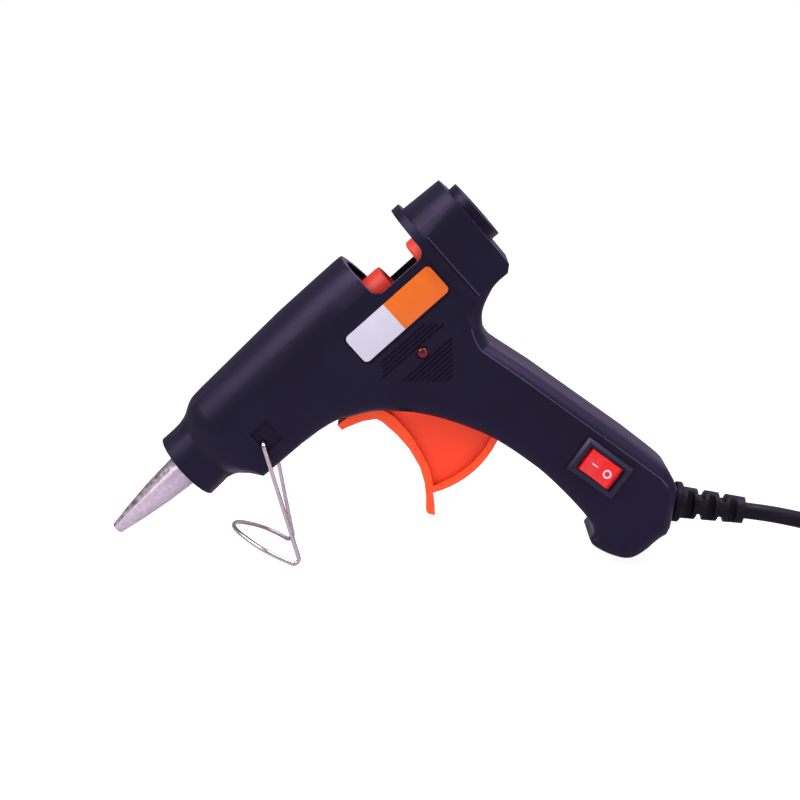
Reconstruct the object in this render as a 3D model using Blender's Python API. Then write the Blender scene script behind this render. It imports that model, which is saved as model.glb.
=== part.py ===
# Mini hot glue applicator, built from separate pieces in metres, +Z up.
# The barrel frame has its origin at the nozzle tip, x along the barrel to the rear,
# y across the body and z away from the handle. The stance empty tips it to rest on
# the wire stand and the butt of the handle.
import math

import bmesh
import bpy
from mathutils import Matrix, Vector

# Body
BARREL_LENGTH = 0.1333
HALF_WIDTH = 0.0135
WALL = 0.0020
EDGE_ROUND = 0.0053
FIT = 0.0003
STANCE = math.radians(41.8)
TIP_X = -0.0881

# Tower, slot and lip
LIP_RISE = 0.0017
LIP_SIDE = 0.0006
LIP_THICK = 0.0028
RING_RADIUS = 0.0091
RING_DEPTH = 0.0026
SLOT_CORNER = 0.0028
RIB_THICK = 0.0020

# Glue path
STICK_BORE = 0.0039
ORIFICE = 0.0006
NOZZLE_TIP = 0.00165
NOZZLE_ROOT = 0.0047
CHAMBER_RADIUS = 0.0074
CHAMBER_NECK = 0.0057
SLEEVE_RADIUS = 0.0062
SLEEVE_NECK = 0.0054
CARRIAGE_RADIUS = 0.0060
CARRIAGE_CHAMFER = 0.0006

# Heater
SADDLE_HALF = 0.0060
SADDLE_DROP = 0.0012
HEATER_THICK = 0.0024
HEATER_LENGTH = 0.0150
HEATER_HALF = 0.0050
CLIP_SHEET = 0.0005
CLIP_LENGTH = 0.0070
CLIP_RISE = 0.0010

# Trigger and feed
TRIGGER_HALF = 0.0060
WEB_HALF = 0.0040
ARM_HALF = 0.0031
ARM_WIDTH = 0.0026
RIM_RADIUS = 0.0281
RIM_THICK = 0.0021
HUB_RADIUS = 0.0042
PIN_RADIUS = 0.0015
BOSS_RADIUS = 0.0030
STUD_RADIUS = 0.0013
STUD_LIFT = 0.0007
BAR_THICK = 0.0020
BAR_HEIGHT = 0.0064
SPRING_RADIUS = 0.0026
SPRING_WIRE = 0.00045
SPRING_TURNS = 7

# Screws
POST_RADIUS = 0.0034
SCREW_HOLE = 0.0016
SCREW_SHANK = 0.0013
SCREW_HEAD = 0.0024
HEAD_HEIGHT = 0.0019
POCKET_DEPTH = 0.0045
POST_FLOOR = 0.0034

# Switch
SWITCH_LEAN = math.radians(12.3)
BEZEL_LENGTH = 0.0154
BEZEL_WIDTH = 0.0106
BEZEL_THICK = 0.0013
SWITCH_LENGTH = 0.0132
SWITCH_WIDTH = 0.0087
SWITCH_DEPTH = 0.0107
ROCKER_RADIUS = 0.0055
ROCKER_WIDTH = 0.0067
ROCKER_TILT = math.radians(8)
ROCKER_SEAT = 0.0025
ROCKER_AXLE = 0.0007
TAB_WIDTH = 0.0048
TAB_THICK = 0.0008
TAB_LENGTH = 0.0070

# Label, lamp and small electrical pieces
LABEL_LENGTH = 0.0311
LABEL_HEIGHT = 0.0097
LABEL_CORNER = 0.0016
LABEL_THICK = 0.00018
LABEL_RECESS = 0.0005
LAMP_RADIUS = 0.0015
LAMP_BODY = 0.0040
RESISTOR_RADIUS = 0.0011
RESISTOR_LENGTH = 0.0062
LEAD_RADIUS = 0.0007

# Wire stand
STAND_WIRE = 0.0006
STAND_GAP = 0.0009
STAND_HALF = HALF_WIDTH + STAND_GAP
STAND_FOOT_X = -0.0363
STAND_TWIST = 0.0013
STAND_TIP_X = -0.0554
STAND_TIP_RISE = 0.0094
STAND_BEND = 0.0016
STAND_INSIDE = 0.0040
STAND_POCKET = 0.0009
STAND_SHIFT = 0.0015

# Strain relief and cord
RELIEF_DROP = math.radians(7.5)
RELIEF_FLANGE = 0.0057
RELIEF_FLANGE_THICK = 0.0022
RELIEF_ROOT = 0.00455
RELIEF_TIP = 0.00375
RELIEF_LENGTH = 0.0178
RELIEF_NECK = 0.0036
RELIEF_COLLAR = 0.0050
NOTCH_WIDTH = 0.0012
CORD_RADIUS = 0.00235
TAIL_LENGTH = 0.0090
CLAMP_HALF = 0.0065
CLAMP_THICK = 0.0030

# Coil, tie and plug
COIL_GAP = 0.0007
COIL_BEND = 0.0072
COIL_HALF = 0.0200
COIL_WAIST = 0.0013
COIL_X = 0.1530
COIL_Y = 0.0050
TIE_THICK = 0.0008
TIE_WIDTH = 0.0040
TIE_SLACK = 0.0004
TIE_HEAD = 0.0050
LEAD_RUN = 0.0250
PLUG_LENGTH = 0.0240
PLUG_HALF_WIDTH = 0.0110
PLUG_HALF_THICK = 0.0066
PLUG_SLEEVE = 0.0120
PLUG_CORNER = 0.0030
BLADE_LENGTH = 0.0170
BLADE_WIDTH = 0.0063
BLADE_THICK = 0.0015
BLADE_SPACING = 0.0127

# Facets
ARC_STEPS = 6
INNER_STEPS = 3
ROUND = 24
OFFSET = math.radians(5)

# Outline of the body at its joint plane, in shares of the barrel length. The third
# value is the share of the edge rounding.
TOP_SHARES = (
    (0.203, 0.078), (0.264, 0.078), (0.299, 0.101), (0.323, 0.105),
    (0.566, 0.116), (0.734, 0.117), (0.885, 0.103), (1.000, 0.099),
)
REAR_SHARES = (
    (1.000, -0.123, 0.00), (0.985, -0.136, 0.15), (0.949, -0.136, 0.30), (0.913, -0.146, 0.50),
    (0.887, -0.161, 0.75), (0.872, -0.185, 1.00), (0.866, -0.207, 1.00), (0.867, -0.227, 1.00),
    (0.962, -0.638, 1.00), (0.962, -0.665, 0.90), (0.957, -0.689, 0.75), (0.950, -0.709, 0.65),
)
BUTT_SHARES = (
    (0.886, -0.764, 0.65), (0.870, -0.772, 0.70), (0.847, -0.769, 0.70), (0.799, -0.769, 0.70),
    (0.767, -0.758, 0.70), (0.747, -0.724, 0.65), (0.738, -0.698, 0.60), (0.734, -0.679, 0.55),
    (0.739, -0.662, 0.55), (0.755, -0.656, 0.60), (0.766, -0.640, 0.65), (0.771, -0.605, 0.66),
)
FRONT_SHARES = (
    (0.766, -0.508, 0.66), (0.758, -0.462, 0.66), (0.739, -0.383, 0.66), (0.716, -0.329, 0.66),
    (0.679, -0.264, 0.70), (0.648, -0.224, 0.75), (0.611, -0.186, 0.80), (0.580, -0.164, 0.85),
    (0.548, -0.146, 0.85), (0.514, -0.131, 0.85), (0.473, -0.124, 0.85), (0.428, -0.121, 0.85),
)
FLOOR_SHARES = (
    (0.323, -0.118), (0.299, -0.102), (0.264, -0.078), (0.203, -0.078),
)
STATION_WIDTH_SHARES = (0.770, 0.770, 0.970, 1.000)
STATION_ROUND_SHARES = (1.00, 1.00, 0.50, 0.27)
BLADE_OUTER_SHARES = (
    (0.506, -0.140), (0.506, -0.155), (0.515, -0.157), (0.551, -0.170),
    (0.575, -0.185), (0.580, -0.198), (0.585, -0.239), (0.584, -0.279),
    (0.575, -0.322), (0.560, -0.353), (0.543, -0.377), (0.524, -0.398),
    (0.521, -0.407), (0.530, -0.420),
)
BLADE_INNER_SHARES = (
    (0.579, -0.356), (0.587, -0.340), (0.597, -0.305), (0.607, -0.254),
    (0.607, -0.206), (0.597, -0.177), (0.570, -0.157), (0.540, -0.144),
)
WEB_SHARES = (
    (0.680, -0.180), (0.652, -0.168), (0.600, -0.190), (0.597, -0.240), (0.590, -0.300), (0.574, -0.350),
)
TRIGGER_SLOT_SHARES = (
    (0.495, -0.084), (0.495, -0.465), (0.521, -0.476), (0.787, -0.372), (0.750, -0.248),
)
# Half breadth of the stand's loop against the way from its feet to its tip.
LOOP_SHARES = (
    (0.12, 1.00), (0.30, 1.00), (0.50, 0.93), (0.66, 0.79), (0.80, 0.60), (0.90, 0.44), (0.965, 0.28), (1.00, 0.10),
)
# Lead wires inside the body: along and up in shares of the barrel length, across in
# shares of the half width.
LEAD_SHARES = (
    ((0.852, 0.089, -0.659), (0.842, 0.118, -0.646), (0.851, 0.444, -0.619), (0.864, 0.632, -0.602),
     (0.864, 0.612, -0.587), (0.864, 0.395, -0.587)),
    ((0.853, 0.395, -0.535), (0.853, 0.612, -0.533), (0.862, 0.637, -0.465), (0.875, 0.637, -0.385),
     (0.8715, 0.637, -0.356), (0.860, 0.637, -0.328), (0.838, 0.637, -0.240), (0.815, 0.637, -0.165),
     (0.750, 0.667, -0.090), (0.525, 0.667, -0.057), (0.432, 0.667, -0.050), (0.4105, 0.592, -0.0665),
     (0.4105, 0.454, -0.0785)),
    ((0.852, -0.089, -0.659), (0.851, -0.079, -0.648), (0.872, 0.099, -0.640), (0.890, 0.296, -0.620),
     (0.892, 0.408, -0.570), (0.880, 0.408, -0.465), (0.875, 0.408, -0.385), (0.8715, 0.408, -0.356),
     (0.860, 0.408, -0.328), (0.838, 0.444, -0.240), (0.815, 0.518, -0.165), (0.750, 0.518, -0.097),
     (0.525, 0.518, -0.057), (0.420, 0.518, -0.052), (0.392, 0.518, -0.072), (0.392, 0.405, -0.0785)),
    ((0.792, -0.652, -0.2465), (0.800, -0.652, -0.265), (0.838, -0.652, -0.300), (0.860, -0.652, -0.328),
     (0.8715, -0.652, -0.356), (0.875, -0.652, -0.385), (0.893, -0.652, -0.480), (0.915, -0.652, -0.560),
     (0.9195, -0.592, -0.600), (0.908, -0.494, -0.640)),
)

# Places on the barrel frame, in shares of the barrel length.
PIVOT_SHARE = (0.6527, -0.1950)
STUD_SHARE = (0.6752, -0.0720)
STAND_SHARE = (0.3751, -0.0608)
LAMP_SHARE = (0.7457, -0.1395)
SWITCH_SHARE = (0.8590, -0.5608)
LABEL_SHARE = (0.7592, -0.0484)
RELIEF_SHARE = (0.9180, -0.7365)
POST_SHARES = ((0.4539, -0.0900), (0.9490, -0.0975), (0.8365, -0.3563), (0.8027, -0.6902))
SLOT_SPAN_SHARES = (0.7502, 0.8845)
SLOT_FLOOR_SHARE = 0.0068
TRIM = 0.0008


def at(share):
    """A point of the barrel frame from its shares."""
    return Vector((share[0] * BARREL_LENGTH, share[1] * BARREL_LENGTH))


PIVOT = at(PIVOT_SHARE)
STUD = at(STUD_SHARE)
STAND_PIVOT = at(STAND_SHARE)
BODY_POINTS = [at(s) for s in TOP_SHARES + REAR_SHARES + BUTT_SHARES + FRONT_SHARES + FLOOR_SHARES]
TIP_Z = -min(p.x * math.sin(STANCE) + p.y * math.cos(STANCE) for p in BODY_POINTS)


# Clean start
for old in list(bpy.data.objects):
    bpy.data.objects.remove(old, do_unlink=True)

stance = bpy.data.objects.new("stance", None)
bpy.context.scene.collection.objects.link(stance)
stance.location = (TIP_X, 0, TIP_Z)
stance.rotation_euler = (0, -STANCE, 0)


def material(name, colour, roughness, metallic=0.0):
    made = bpy.data.materials.new(name)
    made.use_nodes = True
    shader = made.node_tree.nodes["Principled BSDF"]
    shader.inputs["Base Color"].default_value = (*colour, 1)
    shader.inputs["Roughness"].default_value = roughness
    shader.inputs["Metallic"].default_value = metallic
    return made


def place(bm, name, look, origin=(0, 0, 0), parent=stance):
    """Turn a bmesh in frame coordinates into an object with its own origin."""
    bmesh.ops.remove_doubles(bm, verts=bm.verts, dist=FIT / 1000)
    bmesh.ops.recalc_face_normals(bm, faces=bm.faces)
    bmesh.ops.translate(bm, verts=bm.verts, vec=-Vector(origin))
    mesh = bpy.data.meshes.new(name)
    bm.to_mesh(mesh)
    bm.free()
    made = bpy.data.objects.new(name, mesh)
    bpy.context.scene.collection.objects.link(made)
    made.location = origin
    made.parent = parent
    if look:
        mesh.materials.append(look)
    return made


def tool(bm, name):
    """A solid that only shapes others."""
    made = place(bm, name, None)
    made.hide_render = True
    made.display_type = "WIRE"
    return made


def shape(target, operation, *others):
    for other in others:
        change = target.modifiers.new(other.name, "BOOLEAN")
        change.operation = operation
        change.solver = "EXACT"
        change.object = other


def extrude(bm, ring, vector):
    """A prism on a ring of corner points."""
    face = bm.faces.new([bm.verts.new(p) for p in ring])
    moved = bmesh.ops.extrude_face_region(bm, geom=[face])["geom"]
    corners = [g for g in moved if isinstance(g, bmesh.types.BMVert)]
    bmesh.ops.translate(bm, verts=corners, vec=Vector(vector))


def plate(bm, points, low, high):
    """A prism across the body on points of the side view."""
    extrude(bm, [(p[0], low, p[1]) for p in points], (0, high - low, 0))


def bulkhead(bm, points, low, high):
    """A prism along the barrel on points of the cross-section."""
    extrude(bm, [(low, p[0], p[1]) for p in points], (high - low, 0, 0))


def turn(bm, profile, centre, axis, steps=ROUND, phase=0.0):
    """A turned solid: profile of (along, radius) about an axis."""
    axis = Vector(axis).normalized()
    side = Matrix.Rotation(phase, 3, axis) @ axis.orthogonal().normalized()
    centre = Vector(centre)
    verts = [bm.verts.new(centre + axis * a + side * r) for a, r in profile]
    edges = [bm.edges.new(pair) for pair in zip(verts, verts[1:])]
    if profile[0][1] > 0:
        edges.append(bm.edges.new((verts[-1], verts[0])))
    bmesh.ops.spin(bm, geom=verts + edges, cent=centre, axis=axis, angle=2 * math.pi, steps=steps, use_merge=True)


def rod(bm, centre, axis, low, high, radius, steps=ROUND, phase=0.0):
    turn(bm, [(low, 0), (low, radius), (high, radius), (high, 0)], centre, axis, steps, phase)


def block(bm, low, high):
    """A box between two opposite corners."""
    ring = [(low[0], low[1], low[2]), (high[0], low[1], low[2]), (high[0], high[1], low[2]), (low[0], high[1], low[2])]
    extrude(bm, ring, (0, 0, high[2] - low[2]))


def rounded(points, radius, steps=4):
    """The ring of points with each corner turned into an arc."""
    out = []
    count = len(points)
    for i, corner in enumerate(points):
        corner = Vector(corner)
        before = (Vector(points[i - 1]) - corner).normalized()
        after = (Vector(points[(i + 1) % count]) - corner).normalized()
        half = before.angle(after) / 2
        centre = corner + (before + after).normalized() * radius / math.sin(half)
        first = corner + before * radius / math.tan(half) - centre
        last = corner + after * radius / math.tan(half) - centre
        for k in range(steps + 1):
            share = k / steps
            spoke = first.lerp(last, share)
            out.append(centre + spoke.normalized() * radius)
    return out


def arc(centre, radius, start, end, steps):
    span = [start + (end - start) * k / steps for k in range(steps + 1)]
    return [Vector((centre[0] + radius * math.cos(a), centre[1] + radius * math.sin(a))) for a in span]


def tube(name, look, paths, radius, resolution, origin=(0, 0, 0), parent=stance):
    """A round wire along each path of points."""
    curve = bpy.data.curves.new(name, "CURVE")
    curve.dimensions = "3D"
    curve.bevel_depth = radius
    curve.bevel_resolution = resolution
    curve.use_fill_caps = True
    for path in paths:
        spline = curve.splines.new("POLY")
        spline.points.add(len(path) - 1)
        for point, p in zip(spline.points, path):
            point.co = (*(Vector(p) - Vector(origin)), 1)
    made = bpy.data.objects.new(name, curve)
    bpy.context.scene.collection.objects.link(made)
    made.location = origin
    made.parent = parent
    curve.materials.append(look)
    return made


def smooth(path, steps):
    """Points of a smooth curve through the path."""
    points = [Vector(p) for p in path]
    ends = [points[0] * 2 - points[1]] + points + [points[-1] * 2 - points[-2]]
    out = [points[0]]
    for a, b, c, d in zip(ends, ends[1:], ends[2:], ends[3:]):
        for k in range(1, steps + 1):
            t = k / steps
            near = (b * 2 + (c - a) * t) / 2
            far = ((a * 2 - b * 5 + c * 4 - d) * t ** 2 + (b * 3 - a - c * 3 + d) * t ** 3) / 2
            out.append(near + far)
    return out


BLACK = material("black_shell", (0.016, 0.015, 0.026), 0.42)
RUBBER = material("black_cord", (0.014, 0.012, 0.021), 0.55)
ORANGE = material("orange_trigger", (0.87, 0.065, 0.024), 0.35)
RED = material("red_guide", (0.62, 0.035, 0.028), 0.40)
CASTING = material("cast_alloy", (0.42, 0.37, 0.41), 0.45, 1.0)
CERAMIC = material("heater_ceramic", (0.62, 0.60, 0.55), 0.6)
SPRING_STEEL = material("spring_steel", (0.45, 0.44, 0.45), 0.35, 1.0)
SCREW_STEEL = material("screw_steel", (0.50, 0.49, 0.48), 0.35, 1.0)
WIRE_STEEL = material("bright_wire", (0.60, 0.55, 0.57), 0.25, 1.0)
SWITCH_BLACK = material("switch_black", (0.015, 0.014, 0.023), 0.35)
ROCKER_RED = material("rocker_red", (0.76, 0.022, 0.026), 0.30)
BRASS = material("tab_brass", (0.72, 0.50, 0.20), 0.35, 1.0)
LAMP_RED = material("lamp_red", (0.12, 0.002, 0.008), 0.12)
RESISTOR_TAN = material("resistor_tan", (0.55, 0.36, 0.20), 0.5)
LABEL_FILM = material("label_film", (0.80, 0.27, 0.03), 0.45)
LEAD_SKIN = material("lead_skin", (0.55, 0.53, 0.50), 0.5)
TIE_NYLON = material("tie_nylon", (0.02, 0.02, 0.022), 0.45)
PLUG_BLACK = material("plug_black", (0.016, 0.014, 0.022), 0.5)
BLADE_METAL = material("blade_metal", (0.66, 0.60, 0.50), 0.3, 1.0)


# Housing halves: moulded black plastic. Each skin is lofted in columns that start on
# the outline at the joint plane and bend over to the flat side.
def skin(depth, steps):
    """Columns of points of one skin, lying depth inside the outer surface."""
    count = len(BODY_POINTS)
    edge_shares = [s[2] for s in REAR_SHARES + BUTT_SHARES + FRONT_SHARES]
    bases = []
    inwards = []
    for i, corner in enumerate(BODY_POINTS):
        a = (corner - BODY_POINTS[i - 1]).normalized()
        b = (BODY_POINTS[(i + 1) % count] - corner).normalized()
        inwards.append(Vector((a.y + b.y, -a.x - b.x)) / (1 + a.dot(b)))
        bases.append(corner + inwards[-1] * depth)
    for top, floor in zip(bases, bases[:-len(STATION_WIDTH_SHARES) - 1:-1]):
        top.x = floor.x = (top.x + floor.x) / 2
    columns = []
    for i, (base, inward) in enumerate(zip(bases, inwards)):
        station = min(i, count - 1 - i, len(STATION_WIDTH_SHARES) - 1)
        width = HALF_WIDTH * STATION_WIDTH_SHARES[station] - depth
        first_edge = len(TOP_SHARES)
        if i < first_edge or i >= first_edge + len(edge_shares):
            share = 1 if i < first_edge else STATION_ROUND_SHARES[station]
            deep = (width + TRIM) * share
            inset = Vector((0, -base.y * share))
        else:
            bend = EDGE_ROUND * edge_shares[i - first_edge]
            deep = max(bend - depth, bend / 3)
            inset = inward * deep
        column = [(base.x, -TRIM, base.y)]
        for k in range(steps + 1):
            angle = math.pi / 2 * k / steps
            across = width - deep + deep * math.sin(angle)
            p = base + inset * (1 - math.cos(angle))
            column.append((p.x, across, p.y))
        columns.append(column)
    return columns


def add_skin(bm, known, columns):
    """Faces of one skin, closed at the flat side and at the collar's front."""

    def face(points):
        ring = []
        for p in points:
            key = tuple(round(v / FIT * 1000) for v in p)
            if key not in known:
                known[key] = bm.verts.new(p)
            if known[key] not in ring:
                ring.append(known[key])
        if len(ring) > 2:
            bm.faces.new(ring)

    last = len(columns[0]) - 1
    for left, right in zip(columns, columns[1:]):
        for k in range(last):
            face((left[k], right[k], right[k + 1], left[k + 1]))
    stations = len(STATION_WIDTH_SHARES)
    for k in range(stations - 1):
        face((columns[k][last], columns[k + 1][last], columns[-k - 2][last], columns[-k - 1][last]))
    face([c[last] for c in columns[stations - 1:len(columns) - stations + 1]])
    face(columns[0] + columns[-1][::-1])
    return face


def half_shell(name, side):
    """The moulded half: two skins joined at the joint plane."""
    bm = bmesh.new()
    known = {}
    outer = skin(0, ARC_STEPS)
    inner = skin(WALL, INNER_STEPS)
    face = add_skin(bm, known, outer)
    add_skin(bm, known, inner)
    count = len(outer)
    for i in range(count):
        j = (i + 1) % count
        face((outer[i][0], outer[j][0], inner[j][0], inner[i][0]))
    bmesh.ops.scale(bm, verts=bm.verts, vec=(1, side, 1))
    bmesh.ops.triangulate(bm, faces=bm.faces)
    return place(bm, name, BLACK)


def arch(half, top, low, steps=8):
    """Cross-section from the crown over to the side and down to a level."""
    edge = -TRIM * 3 / 4
    points = []
    for k in range(steps + 1):
        angle = math.pi / 2 * k / steps
        points.append((edge + (half - edge) * math.sin(angle), top * math.cos(angle)))
    points.append((half, low))
    return points


def horseshoe(bm, side, start, half, top, hole, reach=0.75):
    """A rib under the crown with a half-round seat for a round piece."""
    low = -hole * reach
    ring = arch(half, top, low)
    foot = math.sqrt(hole ** 2 - low ** 2)
    ring += arc((0, 0), hole, math.atan2(low, foot), math.pi / 2, 6)
    ring.append((-TRIM * 3 / 4, hole))
    bulkhead(bm, [(side * p[0], p[1]) for p in ring], start, start + RIB_THICK)


def shell_ribs(side):
    """Ribs, screw posts and pin bosses on the inner side."""
    bm = bmesh.new()
    crown = BARREL_LENGTH * TOP_SHARES[4][1]
    tower = BARREL_LENGTH * TOP_SHARES[6][1]
    collar = BARREL_LENGTH * TOP_SHARES[0][1]
    embed = WALL / 2
    half = HALF_WIDTH - embed
    horseshoe(bm, side, BARREL_LENGTH * 0.2588, collar - embed, collar - embed, CHAMBER_NECK + FIT, 0.3)
    horseshoe(bm, side, BARREL_LENGTH * 0.5476, half, crown - embed, SLEEVE_NECK + FIT)
    horseshoe(bm, side, BARREL_LENGTH * 0.7240, half, crown - embed, SLEEVE_RADIUS + FIT)
    horseshoe(bm, side, BARREL_LENGTH * 0.8900, half, tower - embed, CARRIAGE_RADIUS + FIT, 0.5)
    for share in POST_SHARES[1:]:
        p = at(share)
        rod(bm, (p.x, 0, p.y), (0, side, 0), -TRIM / 2, half, POST_RADIUS)
    rod(bm, (PIVOT.x, 0, PIVOT.y), (0, side, 0), TRIGGER_HALF + FIT, half, BOSS_RADIUS)
    return tool(bm, "ribs_%s" % ("far" if side > 0 else "near"))


def shell_lip(side):
    """The band proud of the tower's front, the first post and the inlet ring."""
    bm = bmesh.new()
    tower = BARREL_LENGTH * TOP_SHARES[6][1]
    low = BARREL_LENGTH * REAR_SHARES[1][1] + EDGE_ROUND / 5
    start = BARREL_LENGTH * SLOT_SPAN_SHARES[1] - FIT
    outer = arch(HALF_WIDTH + LIP_SIDE, tower + LIP_RISE, low)
    inner = arch(HALF_WIDTH - WALL / 2, tower - WALL / 2, low)
    ring = outer + inner[::-1]
    bulkhead(bm, [(side * p[0], p[1]) for p in ring], start, start + LIP_THICK)
    rear = BARREL_LENGTH
    ring = arc((0, 0), RING_RADIUS, -math.pi / 2, math.pi / 2, 12)
    ring += [(-TRIM / 4, RING_RADIUS), (-TRIM / 4, -RING_RADIUS)]
    bulkhead(bm, [(side * p[0], p[1]) for p in ring], rear - WALL / 2, rear + RING_DEPTH)
    p = at(POST_SHARES[0])
    rod(bm, (p.x, 0, p.y), (0, side, 0), -TRIM / 2, HALF_WIDTH - WALL * 0.8, POST_RADIUS)
    return tool(bm, "lip_%s" % ("far" if side > 0 else "near"))


def shell_seat(side):
    """The rib that the return spring leans on."""
    bm = bmesh.new()
    p = at(POST_SHARES[0])
    start = p.x + POST_RADIUS * 3 / 4
    low = BARREL_LENGTH * FRONT_SHARES[-1][1] + WALL / 2
    high = p.y + POST_RADIUS + SPRING_RADIUS / 3
    near = -TRIM / 3
    far = SPRING_RADIUS * 2
    ring = [(near, low), (far, low), (far, high), (near, high)]
    bulkhead(bm, [(side * q[0], q[1]) for q in ring], start, start + RIB_THICK)
    return tool(bm, "seat_%s" % ("far" if side > 0 else "near"))


def slot_outline():
    """Side view of the open slot above the stick, with rounded lower corners."""
    front = BARREL_LENGTH * SLOT_SPAN_SHARES[0]
    rear = BARREL_LENGTH * SLOT_SPAN_SHARES[1]
    floor = BARREL_LENGTH * SLOT_FLOOR_SHARE
    top = BARREL_LENGTH * TOP_SHARES[5][1] + EDGE_ROUND
    quarter = math.pi / 2
    points = [Vector((front, top))]
    points += arc((front + SLOT_CORNER, floor + SLOT_CORNER), SLOT_CORNER, 2 * quarter, 3 * quarter, 4)
    points += arc((rear - SLOT_CORNER, floor + SLOT_CORNER), SLOT_CORNER, 3 * quarter, 4 * quarter, 4)
    points.append(Vector((rear, top)))
    return points


def relief_axis():
    angle = -STANCE - RELIEF_DROP
    return Vector((math.cos(angle), 0, math.sin(angle)))


def relief_point(along):
    p = at(RELIEF_SHARE)
    return Vector((p.x, 0, p.y)) + relief_axis() * along


def wide_cuts():
    """Openings that cross both halves."""
    bm = bmesh.new()
    reach = HALF_WIDTH * 3 / 2
    plate(bm, slot_outline(), -reach, reach)
    plate(bm, [at(s) for s in TRIGGER_SLOT_SHARES], -TRIGGER_HALF - FIT, TRIGGER_HALF + FIT)
    front = BARREL_LENGTH * TOP_SHARES[0][0]
    rod(bm, (front, 0, 0), (1, 0, 0), -WALL / 2, WALL * 3 / 2, NOZZLE_ROOT + FIT)
    rod(bm, (BARREL_LENGTH, 0, 0), (1, 0, 0), -WALL * 3 / 2, RING_DEPTH * 2, STICK_BORE)
    rod(bm, relief_point(0), relief_axis(), -WALL * 3 / 2, WALL, RELIEF_NECK + FIT)
    for share in POST_SHARES:
        p = at(share)
        floor = HALF_WIDTH - POST_FLOOR
        pocket = HALF_WIDTH - POCKET_DEPTH
        profile = [(-floor, 0), (-floor, SCREW_HOLE), (pocket, SCREW_HOLE), (pocket, SCREW_HEAD + FIT),
                   (reach, SCREW_HEAD + FIT), (reach, 0)]
        turn(bm, profile, (p.x, 0, p.y), (0, 1, 0), ROUND, OFFSET)
    return tool(bm, "wide_cuts")


def stand_cuts():
    """Bearing holes of the stand and the bore of the trigger pin."""
    bm = bmesh.new()
    reach = HALF_WIDTH * 3 / 2
    rod(bm, (STAND_PIVOT.x, 0, STAND_PIVOT.y), (0, 1, 0), -reach, reach, STAND_WIRE + FIT, 12)
    inside = HALF_WIDTH - WALL - FIT
    rod(bm, (PIVOT.x, 0, PIVOT.y), (0, 1, 0), -inside, inside, PIN_RADIUS + FIT, 16, OFFSET)
    return tool(bm, "stand_cuts")


def switch_frame():
    """Long and short directions of the switch in the side view."""
    long = Vector((math.sin(SWITCH_LEAN), -math.cos(SWITCH_LEAN)))
    return at(SWITCH_SHARE), long, Vector((long.y, -long.x))


def switch_ring(length, width, corner=0.0):
    centre, long, short = switch_frame()
    signs = ((1, 1), (1, -1), (-1, -1), (-1, 1))
    ring = [centre + long * length / 2 * a + short * width / 2 * b for a, b in signs]
    return rounded(ring, corner) if corner else ring


def label_ring(grow):
    p = at(LABEL_SHARE)
    half = Vector((LABEL_LENGTH / 2 + grow, LABEL_HEIGHT / 2 + grow))
    ring = [(p.x + half.x * a, p.y + half.y * b) for a, b in ((1, 1), (1, -1), (-1, -1), (-1, 1))]
    return rounded(ring, LABEL_CORNER + grow)


def stand_pockets(bm, sides):
    """Shallow pockets in the side walls behind the stand's bearings."""
    front = STAND_PIVOT.x - STAND_WIRE * 2
    rear = STAND_PIVOT.x + BARREL_LENGTH * 0.039
    low = STAND_PIVOT.y - BARREL_LENGTH * 0.021
    high = STAND_PIVOT.y + BARREL_LENGTH * 0.0315
    ring = rounded([(front, low), (rear, low), (rear, high), (front, high)], STAND_WIRE)
    for side in sides:
        plate(bm, ring, side * (HALF_WIDTH - STAND_POCKET), side * (HALF_WIDTH + STAND_POCKET))


def near_cuts():
    """Switch opening, lamp hole, label recess and stand pocket of the near side."""
    bm = bmesh.new()
    plate(bm, switch_ring(SWITCH_LENGTH + FIT * 2, SWITCH_WIDTH + FIT * 2), -HALF_WIDTH * 3 / 2, -HALF_WIDTH + WALL * 2)
    p = at(LAMP_SHARE)
    rod(bm, (p.x, 0, p.y), (0, -1, 0), HALF_WIDTH - WALL * 2, HALF_WIDTH * 3 / 2, LAMP_RADIUS + FIT, 16)
    plate(bm, label_ring(FIT), -HALF_WIDTH - WALL, -HALF_WIDTH + LABEL_RECESS)
    stand_pockets(bm, (-1,))
    return tool(bm, "near_cuts")


def far_cuts():
    bm = bmesh.new()
    stand_pockets(bm, (1,))
    return tool(bm, "far_cuts")


def trim(side):
    """Takes each half back from the joint plane."""
    bm = bmesh.new()
    long = BARREL_LENGTH * 3 / 2
    deep = HALF_WIDTH / 2
    low, high = sorted((side * FIT / 2, -side * deep))
    block(bm, (-BARREL_LENGTH / 4, low, -long), (long, high, BARREL_LENGTH / 2))
    return tool(bm, "trim_%s" % ("far" if side > 0 else "near"))


shared_cuts = wide_cuts()
bearing_cuts = stand_cuts()
side_cuts = {-1: near_cuts(), 1: far_cuts()}
for shell_name, side in (("near_shell", -1), ("far_shell", 1)):
    shell = half_shell(shell_name, side)
    shape(shell, "UNION", shell_ribs(side), shell_lip(side), shell_seat(side))
    shape(shell, "DIFFERENCE", shared_cuts, bearing_cuts, side_cuts[side], trim(side))


# Screws: four self-tappers sunk in pockets of the far side.
def shell_screw(name, share):
    bm = bmesh.new()
    seat = HALF_WIDTH - POCKET_DEPTH + FIT
    end = -HALF_WIDTH + POST_FLOOR + FIT
    p = at(share)
    profile = [(end, 0), (end + SCREW_SHANK, SCREW_SHANK), (seat, SCREW_SHANK), (seat, SCREW_HEAD),
               (seat + HEAD_HEIGHT * 2 / 3, SCREW_HEAD), (seat + HEAD_HEIGHT, SCREW_HEAD * 2 / 3),
               (seat + HEAD_HEIGHT, 0)]
    turn(bm, profile, (p.x, 0, p.y), (0, 1, 0), 16)
    place(bm, name, SCREW_STEEL, (p.x, 0, p.y))


for screw_name, post in zip(("screw_front", "screw_tower", "screw_grip", "screw_butt"), POST_SHARES):
    shell_screw(screw_name, post)


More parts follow.
